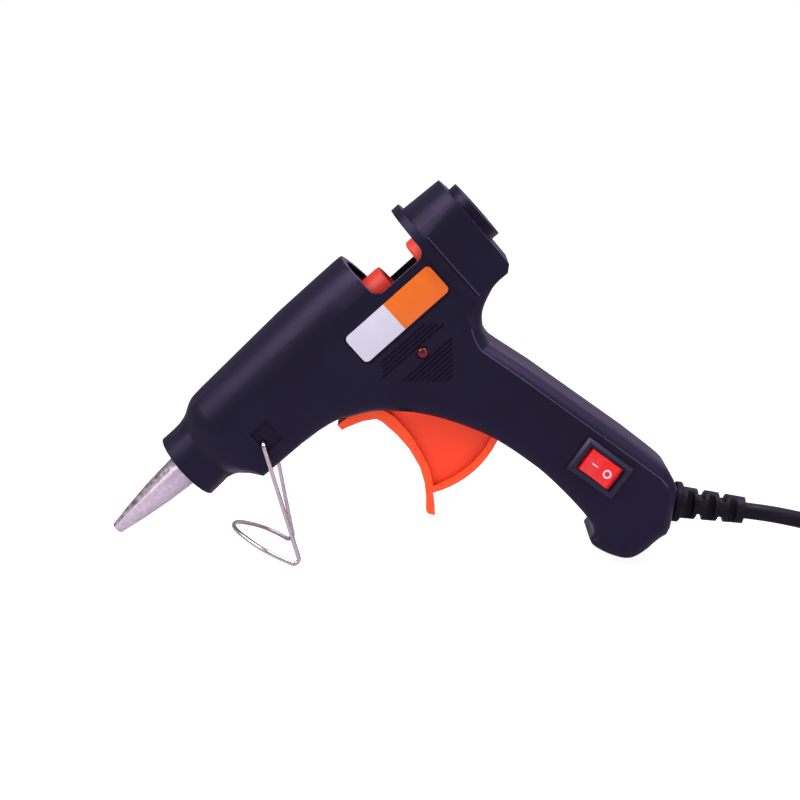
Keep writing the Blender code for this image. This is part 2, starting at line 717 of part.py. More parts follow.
# Nozzle and melt chamber: one alloy casting, held by its neck in the front rib.
def nozzle_casting():
    bm = bmesh.new()
    long = BARREL_LENGTH
    rib = long * 0.2588
    chamber = rib + RIB_THICK + FIT
    end = long * 0.5401
    profile = [
        (0, ORIFICE), (0, NOZZLE_TIP), (long * 0.184, NOZZLE_ROOT), (long * 0.233, NOZZLE_ROOT),
        (long * 0.233, CHAMBER_RADIUS), (rib - FIT, CHAMBER_RADIUS), (rib - FIT, CHAMBER_NECK),
        (chamber, CHAMBER_NECK), (chamber, CHAMBER_RADIUS), (end, CHAMBER_RADIUS),
        (end, STICK_BORE), (long * 0.32, STICK_BORE), (long * 0.20, ORIFICE * 2),
    ]
    turn(bm, profile, (0, 0, 0), (1, 0, 0))
    made = place(bm, "nozzle_casting", CASTING)
    bm = bmesh.new()
    low = -CHAMBER_RADIUS - SADDLE_DROP
    block(bm, (long * 0.295, -SADDLE_HALF, low), (long * 0.420, SADDLE_HALF, -CHAMBER_RADIUS * 3 / 4))
    shape(made, "UNION", tool(bm, "heater_saddle"))
    return made


nozzle_casting()


# Heater: a flat ceramic block pressed to the casting by a sheet-steel clip.
def heater():
    bm = bmesh.new()
    top = -CHAMBER_RADIUS - SADDLE_DROP - FIT
    start = BARREL_LENGTH * 0.304
    block(bm, (start, -HEATER_HALF, top - HEATER_THICK), (start + HEATER_LENGTH, HEATER_HALF, top))
    place(bm, "heater_element", CERAMIC)
    bm = bmesh.new()
    inside = CHAMBER_RADIUS + FIT
    outside = inside + CLIP_SHEET
    low = top - HEATER_THICK - FIT
    ring = [(-outside, CLIP_RISE), (-outside, low - CLIP_SHEET), (outside, low - CLIP_SHEET), (outside, CLIP_RISE),
            (inside, CLIP_RISE), (inside, low), (-inside, low), (-inside, CLIP_RISE)]
    clip = start + CLIP_LENGTH / 4
    bulkhead(bm, ring, clip, clip + CLIP_LENGTH)
    place(bm, "heater_clip", SPRING_STEEL)


heater()


# Inlet sleeve: heat-proof red tube, held by a neck in its rib.
def inlet_sleeve():
    bm = bmesh.new()
    start = BARREL_LENGTH * 0.5401 + FIT
    rib = BARREL_LENGTH * 0.5476
    back = rib + RIB_THICK + FIT
    end = BARREL_LENGTH * 0.7870
    profile = [(start, STICK_BORE), (start, SLEEVE_RADIUS), (rib - FIT, SLEEVE_RADIUS), (rib - FIT, SLEEVE_NECK),
               (back, SLEEVE_NECK), (back, SLEEVE_RADIUS),
               (end - FIT, SLEEVE_RADIUS), (end, SLEEVE_RADIUS - FIT), (end, STICK_BORE)]
    turn(bm, profile, (0, 0, 0), (1, 0, 0))
    place(bm, "inlet_sleeve", RED)


inlet_sleeve()


# Trigger: one moulding of finger blade, rim, side web, hub and drive arm.
def trigger():
    origin = (PIVOT.x, 0, PIVOT.y)
    low_angle = math.radians(-117)
    end_angle = math.radians(-62)
    rim = RIM_RADIUS - FIT
    bm = bmesh.new()
    inner = rim - RIM_THICK
    ring = [at(s) for s in WEB_SHARES]
    ring += arc(PIVOT, inner + RIM_THICK / 2, low_angle, end_angle, 8)
    plate(bm, ring, -WEB_HALF, WEB_HALF)
    made = place(bm, "trigger", ORANGE, origin)
    bm = bmesh.new()
    ring = [at(s) for s in BLADE_OUTER_SHARES]
    ring += arc(PIVOT, rim, low_angle, end_angle, 10)
    ring += arc(PIVOT, inner, end_angle, low_angle + RIM_THICK / inner * 2, 10)
    ring += [at(s) for s in BLADE_INNER_SHARES]
    plate(bm, ring, -TRIGGER_HALF, TRIGGER_HALF)
    rod(bm, origin, (0, 1, 0), -TRIGGER_HALF, TRIGGER_HALF, HUB_RADIUS)
    blade = tool(bm, "trigger_blade")
    bm = bmesh.new()
    along = (STUD - PIVOT).normalized()
    lean = math.atan2(along.y, along.x)
    quarter = math.pi / 2
    ring = arc(PIVOT, ARM_WIDTH, lean + quarter, lean + 3 * quarter, 6)
    ring += arc(STUD, ARM_WIDTH, lean - quarter, lean + quarter, 6)
    plate(bm, ring, -ARM_HALF, ARM_HALF)
    arm = tool(bm, "trigger_arm")
    bm = bmesh.new()
    reach = ARM_HALF + FIT + BAR_THICK
    rod(bm, (STUD.x, 0, STUD.y), (0, 1, 0), -reach, reach, STUD_RADIUS, 16)
    stud = tool(bm, "trigger_stud")
    bm = bmesh.new()
    rod(bm, origin, (0, 1, 0), -TRIGGER_HALF * 3 / 2, TRIGGER_HALF * 3 / 2, PIN_RADIUS + FIT, 16, OFFSET)
    shape(made, "UNION", blade, arm, stud)
    shape(made, "DIFFERENCE", tool(bm, "trigger_bore"))
    bm = bmesh.new()
    reach = HALF_WIDTH - WALL - FIT * 2
    rod(bm, origin, (0, 1, 0), -reach, reach, PIN_RADIUS, 16)
    place(bm, "trigger_pin", SPRING_STEEL)


trigger()


# Stick carriage: grip ring on two drag bars that the trigger arm pulls forward.
def stick_carriage():
    front = BARREL_LENGTH * 0.8582
    rear = BARREL_LENGTH * 0.9610
    bm = bmesh.new()
    profile = [(front, STICK_BORE), (front, CARRIAGE_RADIUS - CARRIAGE_CHAMFER),
               (front + CARRIAGE_CHAMFER, CARRIAGE_RADIUS), (rear, CARRIAGE_RADIUS), (rear, STICK_BORE)]
    turn(bm, profile, (0, 0, 0), (1, 0, 0))
    made = place(bm, "stick_carriage", RED, (front, 0, 0))
    inside = ARM_HALF + FIT
    outside = inside + BAR_THICK
    low = STUD.y - BAR_HEIGHT / 2
    high = STUD.y + BAR_HEIGHT * 0.47
    start = STUD.x - ARM_WIDTH - BAR_THICK * 0.9
    post = BARREL_LENGTH * 0.9075
    bm = bmesh.new()
    for side in (-1, 1):
        edges = sorted((side * inside, side * outside))
        block(bm, (start, edges[0], low), (post, edges[1], high))
    bars = tool(bm, "drag_bars")
    bm = bmesh.new()
    block(bm, (start - BAR_THICK / 2, -outside, low), (start + BAR_THICK / 4, outside, high))
    block(bm, (post - BAR_HEIGHT * 2 / 3, -outside, low), (post + FIT, outside, -STICK_BORE - BAR_THICK / 4))
    ends = tool(bm, "drag_ends")
    bm = bmesh.new()
    gap = STUD_RADIUS + FIT
    ring = [(STUD.x - gap, STUD.y - gap - STUD_LIFT / 2), (STUD.x + gap, STUD.y - gap - STUD_LIFT / 2),
            (STUD.x + gap, STUD.y + gap + STUD_LIFT / 2), (STUD.x - gap, STUD.y + gap + STUD_LIFT / 2)]
    plate(bm, ring, -outside * 3 / 2, outside * 3 / 2)
    shape(made, "UNION", bars, ends)
    shape(made, "DIFFERENCE", tool(bm, "stud_slots"))


stick_carriage()


# Return spring: compression coil between its seat rib and the carriage.
def return_spring():
    post = at(POST_SHARES[0])
    level = STUD.y - SPRING_RADIUS / 3
    start = post.x + POST_RADIUS * 3 / 4 + RIB_THICK + FIT + SPRING_WIRE
    end = STUD.x - ARM_WIDTH - BAR_THICK * 1.4 - FIT - SPRING_WIRE
    radius = SPRING_RADIUS - SPRING_WIRE
    steps = SPRING_TURNS * 10
    path = []
    for k in range(steps + 1):
        angle = 2 * math.pi * SPRING_TURNS * k / steps
        path.append((start + (end - start) * k / steps, radius * math.sin(angle), level + radius * math.cos(angle)))
    tube("return_spring", SPRING_STEEL, [path], SPRING_WIRE, 1)


return_spring()


# Wire stand: one bent steel wire, its ends hooked into the side walls.
def world(x, y, z):
    """World place of a point of the barrel frame."""
    cos, sin = math.cos(STANCE), math.sin(STANCE)
    return Vector((TIP_X + x * cos - z * sin, y, TIP_Z + x * sin + z * cos))


def bend_corners(points, radius, steps=4):
    """An open path with each inner corner turned into an arc."""
    out = [points[0]]
    for before, corner, after in zip(points, points[1:], points[2:]):
        a = (before - corner).normalized()
        b = (after - corner).normalized()
        half = a.angle(b) / 2
        reach = min(radius / math.tan(half), (before - corner).length * 0.45, (after - corner).length * 0.45)
        first = corner + a * reach
        last = corner + b * reach
        centre = corner + (a + b).normalized() * reach / math.cos(half)
        for k in range(steps + 1):
            spoke = first.lerp(last, k / steps) - centre
            out.append(centre + spoke.normalized() * reach * math.tan(half))
    out.append(points[-1])
    return out


def stand_path(foot_z):
    pivot = world(STAND_PIVOT.x, 0, STAND_PIVOT.y)
    tip = Vector((STAND_TIP_X, 0, STAND_TIP_RISE))
    sides = []
    for side in (-1, 1):
        foot = Vector((STAND_FOOT_X - side * STAND_TWIST, side * STAND_HALF, foot_z))
        points = [Vector((pivot.x, side * (STAND_HALF - STAND_INSIDE), pivot.z)),
                  Vector((pivot.x, side * STAND_HALF, pivot.z)), foot]
        for share, breadth in LOOP_SHARES:
            p = foot.lerp(tip, share)
            p.y = side * STAND_HALF * breadth - STAND_SHIFT * share
            points.append(p)
        sides.append(points)
    head = bend_corners(sides[0][:4], STAND_BEND)
    tail = bend_corners(sides[1][:4], STAND_BEND)
    loop = sides[0][4:] + sides[1][4:][::-1]
    return head + loop + tail[::-1]


def wire_stand():
    low = min(p.z for p in stand_path(0))
    path = stand_path(STAND_WIRE - low)
    pivot = world(STAND_PIVOT.x, 0, STAND_PIVOT.y)
    tube("wire_stand", WIRE_STEEL, [path], STAND_WIRE, 2, pivot, None)


wire_stand()


# Rocker switch: body clipped in the near side, rocker on two stub axles.
def switch():
    centre, long, short = switch_frame()
    face = -HALF_WIDTH - FIT
    front = face - BEZEL_THICK
    bm = bmesh.new()
    plate(bm, switch_ring(BEZEL_LENGTH, BEZEL_WIDTH, BEZEL_THICK / 2), front, face)
    made = place(bm, "switch_body", SWITCH_BLACK)
    bm = bmesh.new()
    plate(bm, switch_ring(SWITCH_LENGTH, SWITCH_WIDTH), face - BEZEL_THICK / 2, face + SWITCH_DEPTH)
    block_tool = tool(bm, "switch_block")
    bm = bmesh.new()
    well = ROCKER_RADIUS * 2 + FIT * 2
    floor = front + ROCKER_SEAT + ROCKER_RADIUS * 0.36
    plate(bm, switch_ring(well, ROCKER_WIDTH + FIT * 2), front - BEZEL_THICK, floor)
    well_tool = tool(bm, "switch_well")
    bm = bmesh.new()
    hinge = Vector((centre.x, front + ROCKER_SEAT, centre.y))
    across = Vector((short.x, 0, short.y))
    reach = SWITCH_WIDTH
    rod(bm, hinge, across, -reach, reach, ROCKER_AXLE + FIT, 12)
    shape(made, "UNION", block_tool)
    shape(made, "DIFFERENCE", well_tool, tool(bm, "switch_axle_holes"))

    bm = bmesh.new()
    along = Vector((long.x, 0, long.y))
    out = Vector((0, -1, 0))
    profile = arc((0, 0), ROCKER_RADIUS, math.radians(-5), math.radians(38), 5)
    top = [Vector((0, ROCKER_SEAT))]
    ring = profile + top + [Vector((-p.x, p.y)) for p in reversed(profile)]
    tilt = Matrix.Rotation(ROCKER_TILT, 2)
    ring = [tilt @ p for p in ring]
    start = hinge - across * ROCKER_WIDTH / 2
    extrude(bm, [start + along * p.x + out * p.y for p in ring], across * ROCKER_WIDTH)
    made = place(bm, "switch_rocker", ROCKER_RED, hinge)
    bm = bmesh.new()
    reach = (ROCKER_WIDTH + SWITCH_WIDTH) / 4
    rod(bm, hinge, across, -reach, reach, ROCKER_AXLE, 12)
    shape(made, "UNION", tool(bm, "rocker_axle"))

    back = face + SWITCH_DEPTH + FIT
    for tab, share in (("terminal_upper", -1), ("terminal_lower", 1)):
        middle = centre + long * SWITCH_LENGTH / 4 * share
        corners = ((1, 1), (1, -1), (-1, -1), (-1, 1))
        ring = [middle + long * TAB_THICK / 2 * a + short * TAB_WIDTH / 2 * b for a, b in corners]
        bm = bmesh.new()
        plate(bm, ring, back, back + TAB_LENGTH)
        place(bm, tab, BRASS)


switch()


# Rating label: thin film in its shallow recess.
def rating_label():
    bm = bmesh.new()
    base = -HALF_WIDTH + LABEL_RECESS - FIT
    plate(bm, label_ring(-FIT), base - LABEL_THICK, base)
    place(bm, "rating_label", LABEL_FILM)


rating_label()


# Status lamp: domed diode behind the near wall, with its resistor.
def status_lamp():
    p = at(LAMP_SHARE)
    bm = bmesh.new()
    dome = [(HALF_WIDTH + LAMP_RADIUS * math.sin(a) * 0.6, LAMP_RADIUS * math.cos(a))
            for a in (0, math.pi / 8, math.pi / 4, math.pi * 3 / 8)]
    flange = HALF_WIDTH - WALL - FIT
    profile = [(HALF_WIDTH - WALL - LAMP_BODY, 0), (HALF_WIDTH - WALL - LAMP_BODY, LAMP_RADIUS),
               (flange - FIT * 3, LAMP_RADIUS), (flange - FIT * 3, LAMP_RADIUS + FIT * 2),
               (flange, LAMP_RADIUS + FIT * 2), (flange, LAMP_RADIUS)]
    profile += dome + [(HALF_WIDTH + LAMP_RADIUS * 0.6, 0)]
    turn(bm, profile, (p.x, 0, p.y), (0, -1, 0), 16)
    place(bm, "status_lamp", LAMP_RED)
    bm = bmesh.new()
    half = RESISTOR_LENGTH / 2
    thin = RESISTOR_RADIUS / 4
    profile = [(-half * 1.6, 0), (-half * 1.6, thin), (-half, thin), (-half, RESISTOR_RADIUS * 0.8),
               (-half * 0.8, RESISTOR_RADIUS), (half * 0.8, RESISTOR_RADIUS), (half, RESISTOR_RADIUS * 0.8),
               (half, thin), (half * 1.6, thin), (half * 1.6, 0)]
    centre = (p.x + RESISTOR_LENGTH, -HALF_WIDTH * 0.65, p.y - RESISTOR_LENGTH * 1.4)
    turn(bm, profile, centre, (0, 0, 1), 12)
    place(bm, "lamp_resistor", RESISTOR_TAN)


status_lamp()


# Lead wires: insulated strands from the cord to the switch, heater and lamp.
def lead_lane(share, up):
    """Place across the body: beside the switch, on the far side, clear of its terminals."""
    beyond = -HALF_WIDTH + SWITCH_DEPTH + TAB_LENGTH + FIT + LEAD_RADIUS
    beside_switch = share > 0.39 and up < SWITCH_SHARE[1] * 0.9
    return max(share * HALF_WIDTH, beyond) if beside_switch else share * HALF_WIDTH


for lead_name, shares in zip(("lead_supply", "lead_heater", "lead_return", "lead_lamp"), LEAD_SHARES):
    strand = smooth([(s[0] * BARREL_LENGTH, lead_lane(s[1], s[2]), s[2] * BARREL_LENGTH) for s in shares], 3)
    tube(lead_name, LEAD_SKIN, [strand], LEAD_RADIUS, 1)


# Strain relief: segmented rubber sleeve snapped in the butt, with the cord's inner end
# and the clamp that holds it.
def strain_relief():
    bm = bmesh.new()
    root = FIT + RELIEF_FLANGE_THICK
    inside = -WALL - FIT
    end = FIT + RELIEF_FLANGE_THICK + RELIEF_LENGTH
    profile = [(inside - WALL / 2, 0), (inside - WALL / 2, RELIEF_COLLAR), (inside, RELIEF_COLLAR),
               (inside, RELIEF_NECK), (FIT, RELIEF_NECK), (FIT, RELIEF_FLANGE), (root, RELIEF_FLANGE),
               (root, RELIEF_ROOT), (end, RELIEF_TIP), (end, 0)]
    turn(bm, profile, relief_point(0), relief_axis())
    made = place(bm, "strain_relief", RUBBER)
    bm = bmesh.new()
    axis = relief_axis()
    rise = Vector((-axis.z, 0, axis.x))
    wide = RELIEF_FLANGE
    sideways = Vector((0, 1, 0))
    pairs = ((0.30, rise), (0.64, rise), (0.13, sideways), (0.47, sideways), (0.81, sideways))
    for share, out in pairs:
        across = axis.cross(out)
        middle = relief_point(root + RELIEF_LENGTH * share)
        for sign in (-1, 1):
            low = middle + out * sign * CORD_RADIUS * 1.1 - across * wide
            top = out * sign * (RELIEF_FLANGE - CORD_RADIUS)
            ring = [low - axis * NOTCH_WIDTH * 0.55, low + axis * NOTCH_WIDTH * 0.55,
                    low + axis * NOTCH_WIDTH + top, low - axis * NOTCH_WIDTH + top]
            extrude(bm, ring, across * wide * 2)
    shape(made, "DIFFERENCE", tool(bm, "relief_notches"))

    bm = bmesh.new()
    start = inside - WALL / 2 - FIT
    rod(bm, relief_point(0), axis, start - TAIL_LENGTH, start, CORD_RADIUS, 16)
    place(bm, "cord_tail", RUBBER)
    bm = bmesh.new()
    mid = start - TAIL_LENGTH / 2
    centre = relief_point(mid - CLAMP_THICK / 2)
    seat = CORD_RADIUS + FIT
    notch = arc((0, 0), seat, math.pi, 0, 8)
    ring = [Vector((CLAMP_HALF, 0)), Vector((CLAMP_HALF, seat + WALL)), Vector((-CLAMP_HALF, seat + WALL)),
            Vector((-CLAMP_HALF, 0))] + notch
    extrude(bm, [centre + Vector((0, p.x, 0)) + rise * p.y for p in ring], axis * CLAMP_THICK)
    place(bm, "cord_clamp", SWITCH_BLACK)


strain_relief()


# Power cord: falls from the strain relief to a tied hank on the table, then to the plug.
def cord_exit():
    along = FIT * 2 + RELIEF_FLANGE_THICK + RELIEF_LENGTH
    p = relief_point(along)
    return world(p.x, p.y, p.z)


def hermite(start, start_way, end, end_way, steps):
    out = []
    for k in range(steps + 1):
        t = k / steps
        a = 2 * t ** 3 - 3 * t ** 2 + 1
        b = t ** 3 - 2 * t ** 2 + t
        c = 3 * t ** 2 - 2 * t ** 3
        d = t ** 3 - t ** 2
        out.append(start * a + start_way * b + end * c + end_way * d)
    return out


COIL_LOW = CORD_RADIUS + TIE_THICK + TIE_SLACK
COIL_PITCH = CORD_RADIUS * 2 + COIL_GAP
COIL_TURNS = 4
COIL_OUTER = COIL_BEND + COIL_PITCH
COIL_PINCH = COIL_BEND - CORD_RADIUS - COIL_WAIST / 2


def ease(t):
    return t * t * (3 - 2 * t)


def coil_path():
    """Three turns up round the outside and four turns down within them, pinched at the tie."""
    straight = (0, 1 / 6, 1 / 3, 2 / 3, 5 / 6, 1)
    bends = 7
    path = []

    def lay(x, y, level):
        path.append(Vector((COIL_X + x, COIL_Y + y, COIL_LOW + COIL_PITCH * level)))

    radius = COIL_OUTER
    for turn in range(COIL_TURNS * 2):
        rising = turn < COIL_TURNS - 1
        before, radius = radius, COIL_OUTER if rising else COIL_BEND
        level = 1 + turn if rising else COIL_TURNS * 2 - 1 - turn
        for t in straight:
            across = before + (radius - before) * ease(t) - COIL_PINCH * ease(min(1, 3 * min(t, 1 - t)))
            lay(COIL_HALF * (2 * t - 1), -across, level)
        if turn == COIL_TURNS * 2 - 1:
            break
        step = 1 if rising else -1
        bend = math.pi * radius
        whole = bend * 2 + COIL_HALF * 2
        for k in range(1, bends):
            angle = math.pi * (k / bends - 0.5)
            lay(COIL_HALF + radius * math.cos(angle), radius * math.sin(angle), level + step * bend * k / bends / whole)
        for t in straight:
            across = radius - COIL_PINCH * ease(min(1, 3 * min(t, 1 - t)))
            lay(COIL_HALF * (1 - 2 * t), across, level + step * (bend + COIL_HALF * 2 * t) / whole)
        for k in range(1, bends):
            angle = math.pi * (k / bends + 0.5)
            share = (bend + COIL_HALF * 2 + bend * k / bends) / whole
            lay(-COIL_HALF + radius * math.cos(angle), radius * math.sin(angle), level + step * share)
    diameter = Vector((CORD_RADIUS * 2, 0, 0))
    clear = Vector((COIL_OUTER + CORD_RADIUS, 0, 0))
    return [path[0] - diameter] + path + [path[-1] + clear + diameter]


def power_cord():
    start = cord_exit()
    way = Vector((math.cos(RELIEF_DROP), 0, -math.sin(RELIEF_DROP)))
    first = start + way * CORD_RADIUS * 2
    coil = coil_path()
    meet = coil[0] - Vector((FIT, 0, 0))
    last = meet - Vector((CORD_RADIUS * 2, 0, 0))
    pull = (last - first).length
    body = hermite(first, way * pull, last, Vector((pull, 0, 0)), 10)
    tube("power_cord", RUBBER, [[start] + body + [meet]], CORD_RADIUS, 4, start, None)
    tube("cord_coil", RUBBER, [coil], CORD_RADIUS, 1, coil[0], None)
    gap = min((a - b).length for i, a in enumerate(coil) for b in coil[i + 12:]) - CORD_RADIUS * 2
    length = sum((b - a).length for a, b in zip(coil, coil[1:]))
    print("coil gap to itself %.5f m, coil length %.3f m" % (gap, length))


power_cord()


# Cable tie round the waist of the hank.
def coil_tie():
    bm = bmesh.new()
    side = COIL_OUTER - COIL_PINCH + CORD_RADIUS + TIE_SLACK
    low = COIL_LOW - CORD_RADIUS - TIE_SLACK
    high = COIL_LOW + COIL_PITCH * COIL_TURNS + CORD_RADIUS + TIE_SLACK
    corners = [(-side, low), (side, low), (side, high), (-side, high)]
    hole = rounded(corners, CORD_RADIUS)
    grow = TIE_THICK
    corners = [(-side - grow, low - grow), (side + grow, low - grow), (side + grow, high + grow),
               (-side - grow, high + grow)]
    band = rounded(corners, CORD_RADIUS + grow)
    rings = []
    for x in (COIL_X - TIE_WIDTH / 2, COIL_X + TIE_WIDTH / 2):
        rings.append([[bm.verts.new((x, COIL_Y + p[0], p[1])) for p in ring] for ring in (band, hole)])
    count = len(band)
    for i in range(count):
        j = (i + 1) % count
        bm.faces.new([rings[0][0][i], rings[0][0][j], rings[1][0][j], rings[1][0][i]])
        bm.faces.new([rings[0][1][i], rings[0][1][j], rings[1][1][j], rings[1][1][i]])
        for ring in rings:
            bm.faces.new([ring[0][i], ring[0][j], ring[1][j], ring[1][i]])
    made = place(bm, "coil_tie", TIE_NYLON, (0, 0, 0), None)
    bm = bmesh.new()
    edge = high + TIE_THICK / 2
    block(bm, (COIL_X - TIE_HEAD / 2, COIL_Y - TIE_HEAD / 2, edge),
          (COIL_X + TIE_HEAD / 2, COIL_Y + TIE_HEAD / 2, edge + TIE_HEAD * 0.8))
    head = tool(bm, "tie_head")
    head.parent = None
    shape(made, "UNION", head)


coil_tie()


# Plug: moulded two-blade plug lying beyond the hank.
def plug():
    coil = coil_path()
    start = coil[-1] + Vector((FIT, 0, 0))
    end = Vector((start.x + LEAD_RUN, start.y, PLUG_HALF_THICK))
    diameter = Vector((CORD_RADIUS * 2, 0, 0))
    pull = Vector((LEAD_RUN, 0, 0)) - diameter * 2
    body = hermite(start + diameter, pull, end - diameter, pull, 6)
    tube("plug_lead", RUBBER, [[start] + body + [end]], CORD_RADIUS, 4, start, None)

    base = end.x + FIT
    bm = bmesh.new()
    profile = [(0, 0), (0, CORD_RADIUS * 1.4), (PLUG_SLEEVE, CORD_RADIUS * 2), (PLUG_SLEEVE * 1.2, CORD_RADIUS * 2),
               (PLUG_SLEEVE * 1.2, 0)]
    turn(bm, profile, (base, end.y, end.z), (1, 0, 0))
    made = place(bm, "plug_body", PLUG_BLACK, (base, end.y, end.z), None)
    bm = bmesh.new()
    back = base + PLUG_SLEEVE
    front = back + PLUG_LENGTH
    narrow = 0.72
    rings = []
    stations = ((back, narrow), (back + PLUG_LENGTH * 0.45, 1), (front - FIT * 3, 1), (front, 0.93))
    for x, share in stations:
        half = PLUG_HALF_WIDTH * share
        thick = PLUG_HALF_THICK * share
        corners = rounded([(half, thick), (half, -thick), (-half, -thick), (-half, thick)], PLUG_CORNER * share)
        rings.append([bm.verts.new((x, end.y + p[0], end.z + p[1])) for p in corners])
    for ring in zip(rings, rings[1:]):
        edges = []
        for loop in ring:
            for a, b in zip(loop, loop[1:] + loop[:1]):
                edge = bm.edges.get((a, b)) or bm.edges.new((a, b))
                edges.append(edge)
        bmesh.ops.bridge_loops(bm, edges=edges)
    bm.faces.new(rings[0])
    bm.faces.new(rings[-1])
    grip = tool(bm, "plug_grip")
    grip.parent = None
    shape(made, "UNION", grip)
    for blade, side in (("plug_blade_near", -1), ("plug_blade_far", 1)):
        bm = bmesh.new()
        y = end.y + side * BLADE_SPACING / 2
        x0, x1 = front + FIT, front + FIT + BLADE_LENGTH
        half = BLADE_WIDTH / 2
        ring = rounded([(x0, end.z + half), (x1, end.z + half), (x1, end.z - half), (x0, end.z - half)], BLADE_THICK / 2)
        extrude(bm, [(p[0], y - BLADE_THICK / 2, p[1]) for p in ring], (0, BLADE_THICK, 0))
        place(bm, blade, BLADE_METAL, (0, 0, 0), None)


plug()
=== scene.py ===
import math

import bpy
from mathutils import Matrix, Vector


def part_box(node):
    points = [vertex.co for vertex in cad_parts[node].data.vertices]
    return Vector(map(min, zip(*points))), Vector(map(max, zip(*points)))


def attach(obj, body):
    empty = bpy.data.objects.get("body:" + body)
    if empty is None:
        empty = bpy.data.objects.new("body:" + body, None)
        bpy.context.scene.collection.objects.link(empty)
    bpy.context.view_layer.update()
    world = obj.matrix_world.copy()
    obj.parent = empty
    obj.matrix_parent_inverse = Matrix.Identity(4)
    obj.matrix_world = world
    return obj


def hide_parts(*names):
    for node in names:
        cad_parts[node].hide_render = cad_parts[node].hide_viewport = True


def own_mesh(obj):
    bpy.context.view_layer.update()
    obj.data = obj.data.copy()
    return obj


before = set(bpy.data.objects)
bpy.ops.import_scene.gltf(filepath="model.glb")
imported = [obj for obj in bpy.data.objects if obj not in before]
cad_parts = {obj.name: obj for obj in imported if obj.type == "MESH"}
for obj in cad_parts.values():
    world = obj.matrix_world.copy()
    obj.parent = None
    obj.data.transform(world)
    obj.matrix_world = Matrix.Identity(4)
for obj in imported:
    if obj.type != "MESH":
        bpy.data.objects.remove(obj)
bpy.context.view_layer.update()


# Studio: the applicator stands on a plain white table under soft lamps.
# The camera looks square at its side from a little above, as the photographer did.
aim = Vector((-0.0080, 0.0, 0.0442))
turn_about = math.radians(0.8)
look_down = math.radians(10.0)
camera_distance = 0.55
back = Vector((
    math.sin(turn_about) * math.cos(look_down),
    -math.cos(turn_about) * math.cos(look_down),
    math.sin(look_down),
))
bpy.ops.object.camera_add(
    location=aim + back * camera_distance, rotation=back.to_track_quat("Z", "Y").to_euler(),
)
camera = bpy.context.object
camera.data.lens = 88.4
camera.data.sensor_width = 36
camera.data.clip_start = 0.01
bpy.context.scene.camera = camera
bpy.context.scene.view_settings.view_transform = "Standard"


def paint(code):
    """The linear colour of an sRGB hex code."""
    parts = [int(code[k:k + 2], 16) / 255 for k in (1, 3, 5)]
    return [c / 12.92 if c <= 0.04045 else ((c + 0.055) / 1.055) ** 2.4 for c in parts] + [1]


def set_inputs(look, node, inputs):
    """Gives a shader node its links and values, where a hex code is a colour."""
    for name, value in inputs.items():
        if isinstance(value, bpy.types.NodeSocket):
            look.node_tree.links.new(value, node.inputs[name])
        else:
            node.inputs[name].default_value = paint(value) if isinstance(value, str) else value


def add(look, kind, inputs, **settings):
    """One more shader node of a material, with its settings and its inputs."""
    made = look.node_tree.nodes.new("ShaderNode" + kind)
    for name, value in settings.items():
        setattr(made, name, value)
    set_inputs(look, made, inputs)
    return made


for name, place, size, power, tint in (
    ("left_softbox", (-0.80, -0.42, 1.00), 0.75, 12.0, "#fdfaff"),
    ("right_softbox", (0.95, -0.75, 0.45), 0.60, 2.0, "#ffffff"),
    ("top_softbox", (0.50, -0.12, 1.15), 0.60, 16.5, "#e6d6ff"),
    ("rear_softbox", (0.55, 0.85, 0.75), 0.60, 2.6, "#e6ccf2"),
):
    bpy.ops.object.light_add(type="AREA", location=place)
    lamp = bpy.context.object
    lamp.name = name
    lamp.data.size = size
    lamp.data.energy = power
    lamp.data.color = paint(tint)[:3]
    lamp.rotation_euler = (Vector(place) - aim).to_track_quat("Z", "Y").to_euler()

sky = bpy.data.worlds.new("white_room")
bpy.context.scene.world = sky
sky.use_nodes = True
room = sky.node_tree.nodes["Background"]
rays = add(sky, "LightPath", {})
direct, diffuse = rays.outputs["Is Camera Ray"], rays.outputs["Is Diffuse Ray"]
soft = add(sky, "Math", {0: diffuse, 1: 0.40, 2: 0.28}, operation="MULTIPLY_ADD")
glow = add(sky, "Math", {0: direct, 1: 0.72, 2: soft.outputs[0]}, operation="MULTIPLY_ADD")
# the room's own light has a violet cast, the seen background none
casts = {"Factor": direct, 6: "#f3ecf7", 7: (1, 1, 1, 1)}
cast_of_room = add(sky, "Mix", casts, data_type="RGBA")
set_inputs(sky, room, {"Color": cast_of_room.outputs[2], "Strength": glow.outputs[0]})

bpy.ops.object.select_all(action="DESELECT")
bpy.ops.mesh.primitive_circle_add(vertices=64, radius=3.0, fill_type="NGON", location=(0, 0, -0.0002))
table = bpy.context.object
table.name = "table_top"
bpy.ops.object.transform_apply()
white = bpy.data.materials.new("white_laminate")
white.use_nodes = True
shader = white.node_tree.nodes["Principled BSDF"]
set_inputs(white, shader, {"Base Color": "#f4f4f4", "Roughness": 0.7})
rays = add(white, "LightPath", {})
shine = add(white, "Emission", {"Color": (1, 1, 1, 1), "Strength": 1.24})
share = add(white, "Math", {0: rays.outputs["Is Camera Ray"], 1: 0.74}, operation="MULTIPLY")
blend = add(white, "MixShader", {0: share.outputs[0], 1: shader.outputs[0], 2: shine.outputs[0]})
# in reflections the table shows as the dim violet room behind the camera
dim = add(white, "Emission", {"Color": "#8c6c94", "Strength": 0.55})
mirrored = add(white, "Math", {0: rays.outputs["Is Glossy Ray"], 1: 0.62}, operation="MULTIPLY")
seen = add(white, "MixShader", {0: mirrored.outputs[0], 1: blend.outputs[0], 2: dim.outputs[0]})
set_inputs(white, white.node_tree.nodes["Material Output"], {"Surface": seen.outputs[0]})
table.data.materials.append(white)


# Mains cord: round black PVC flex, 4.7 mm thick. It drops from the strain relief to the table,
# lies in a tied hank beyond the picture's right edge and ends at the moulded plug.

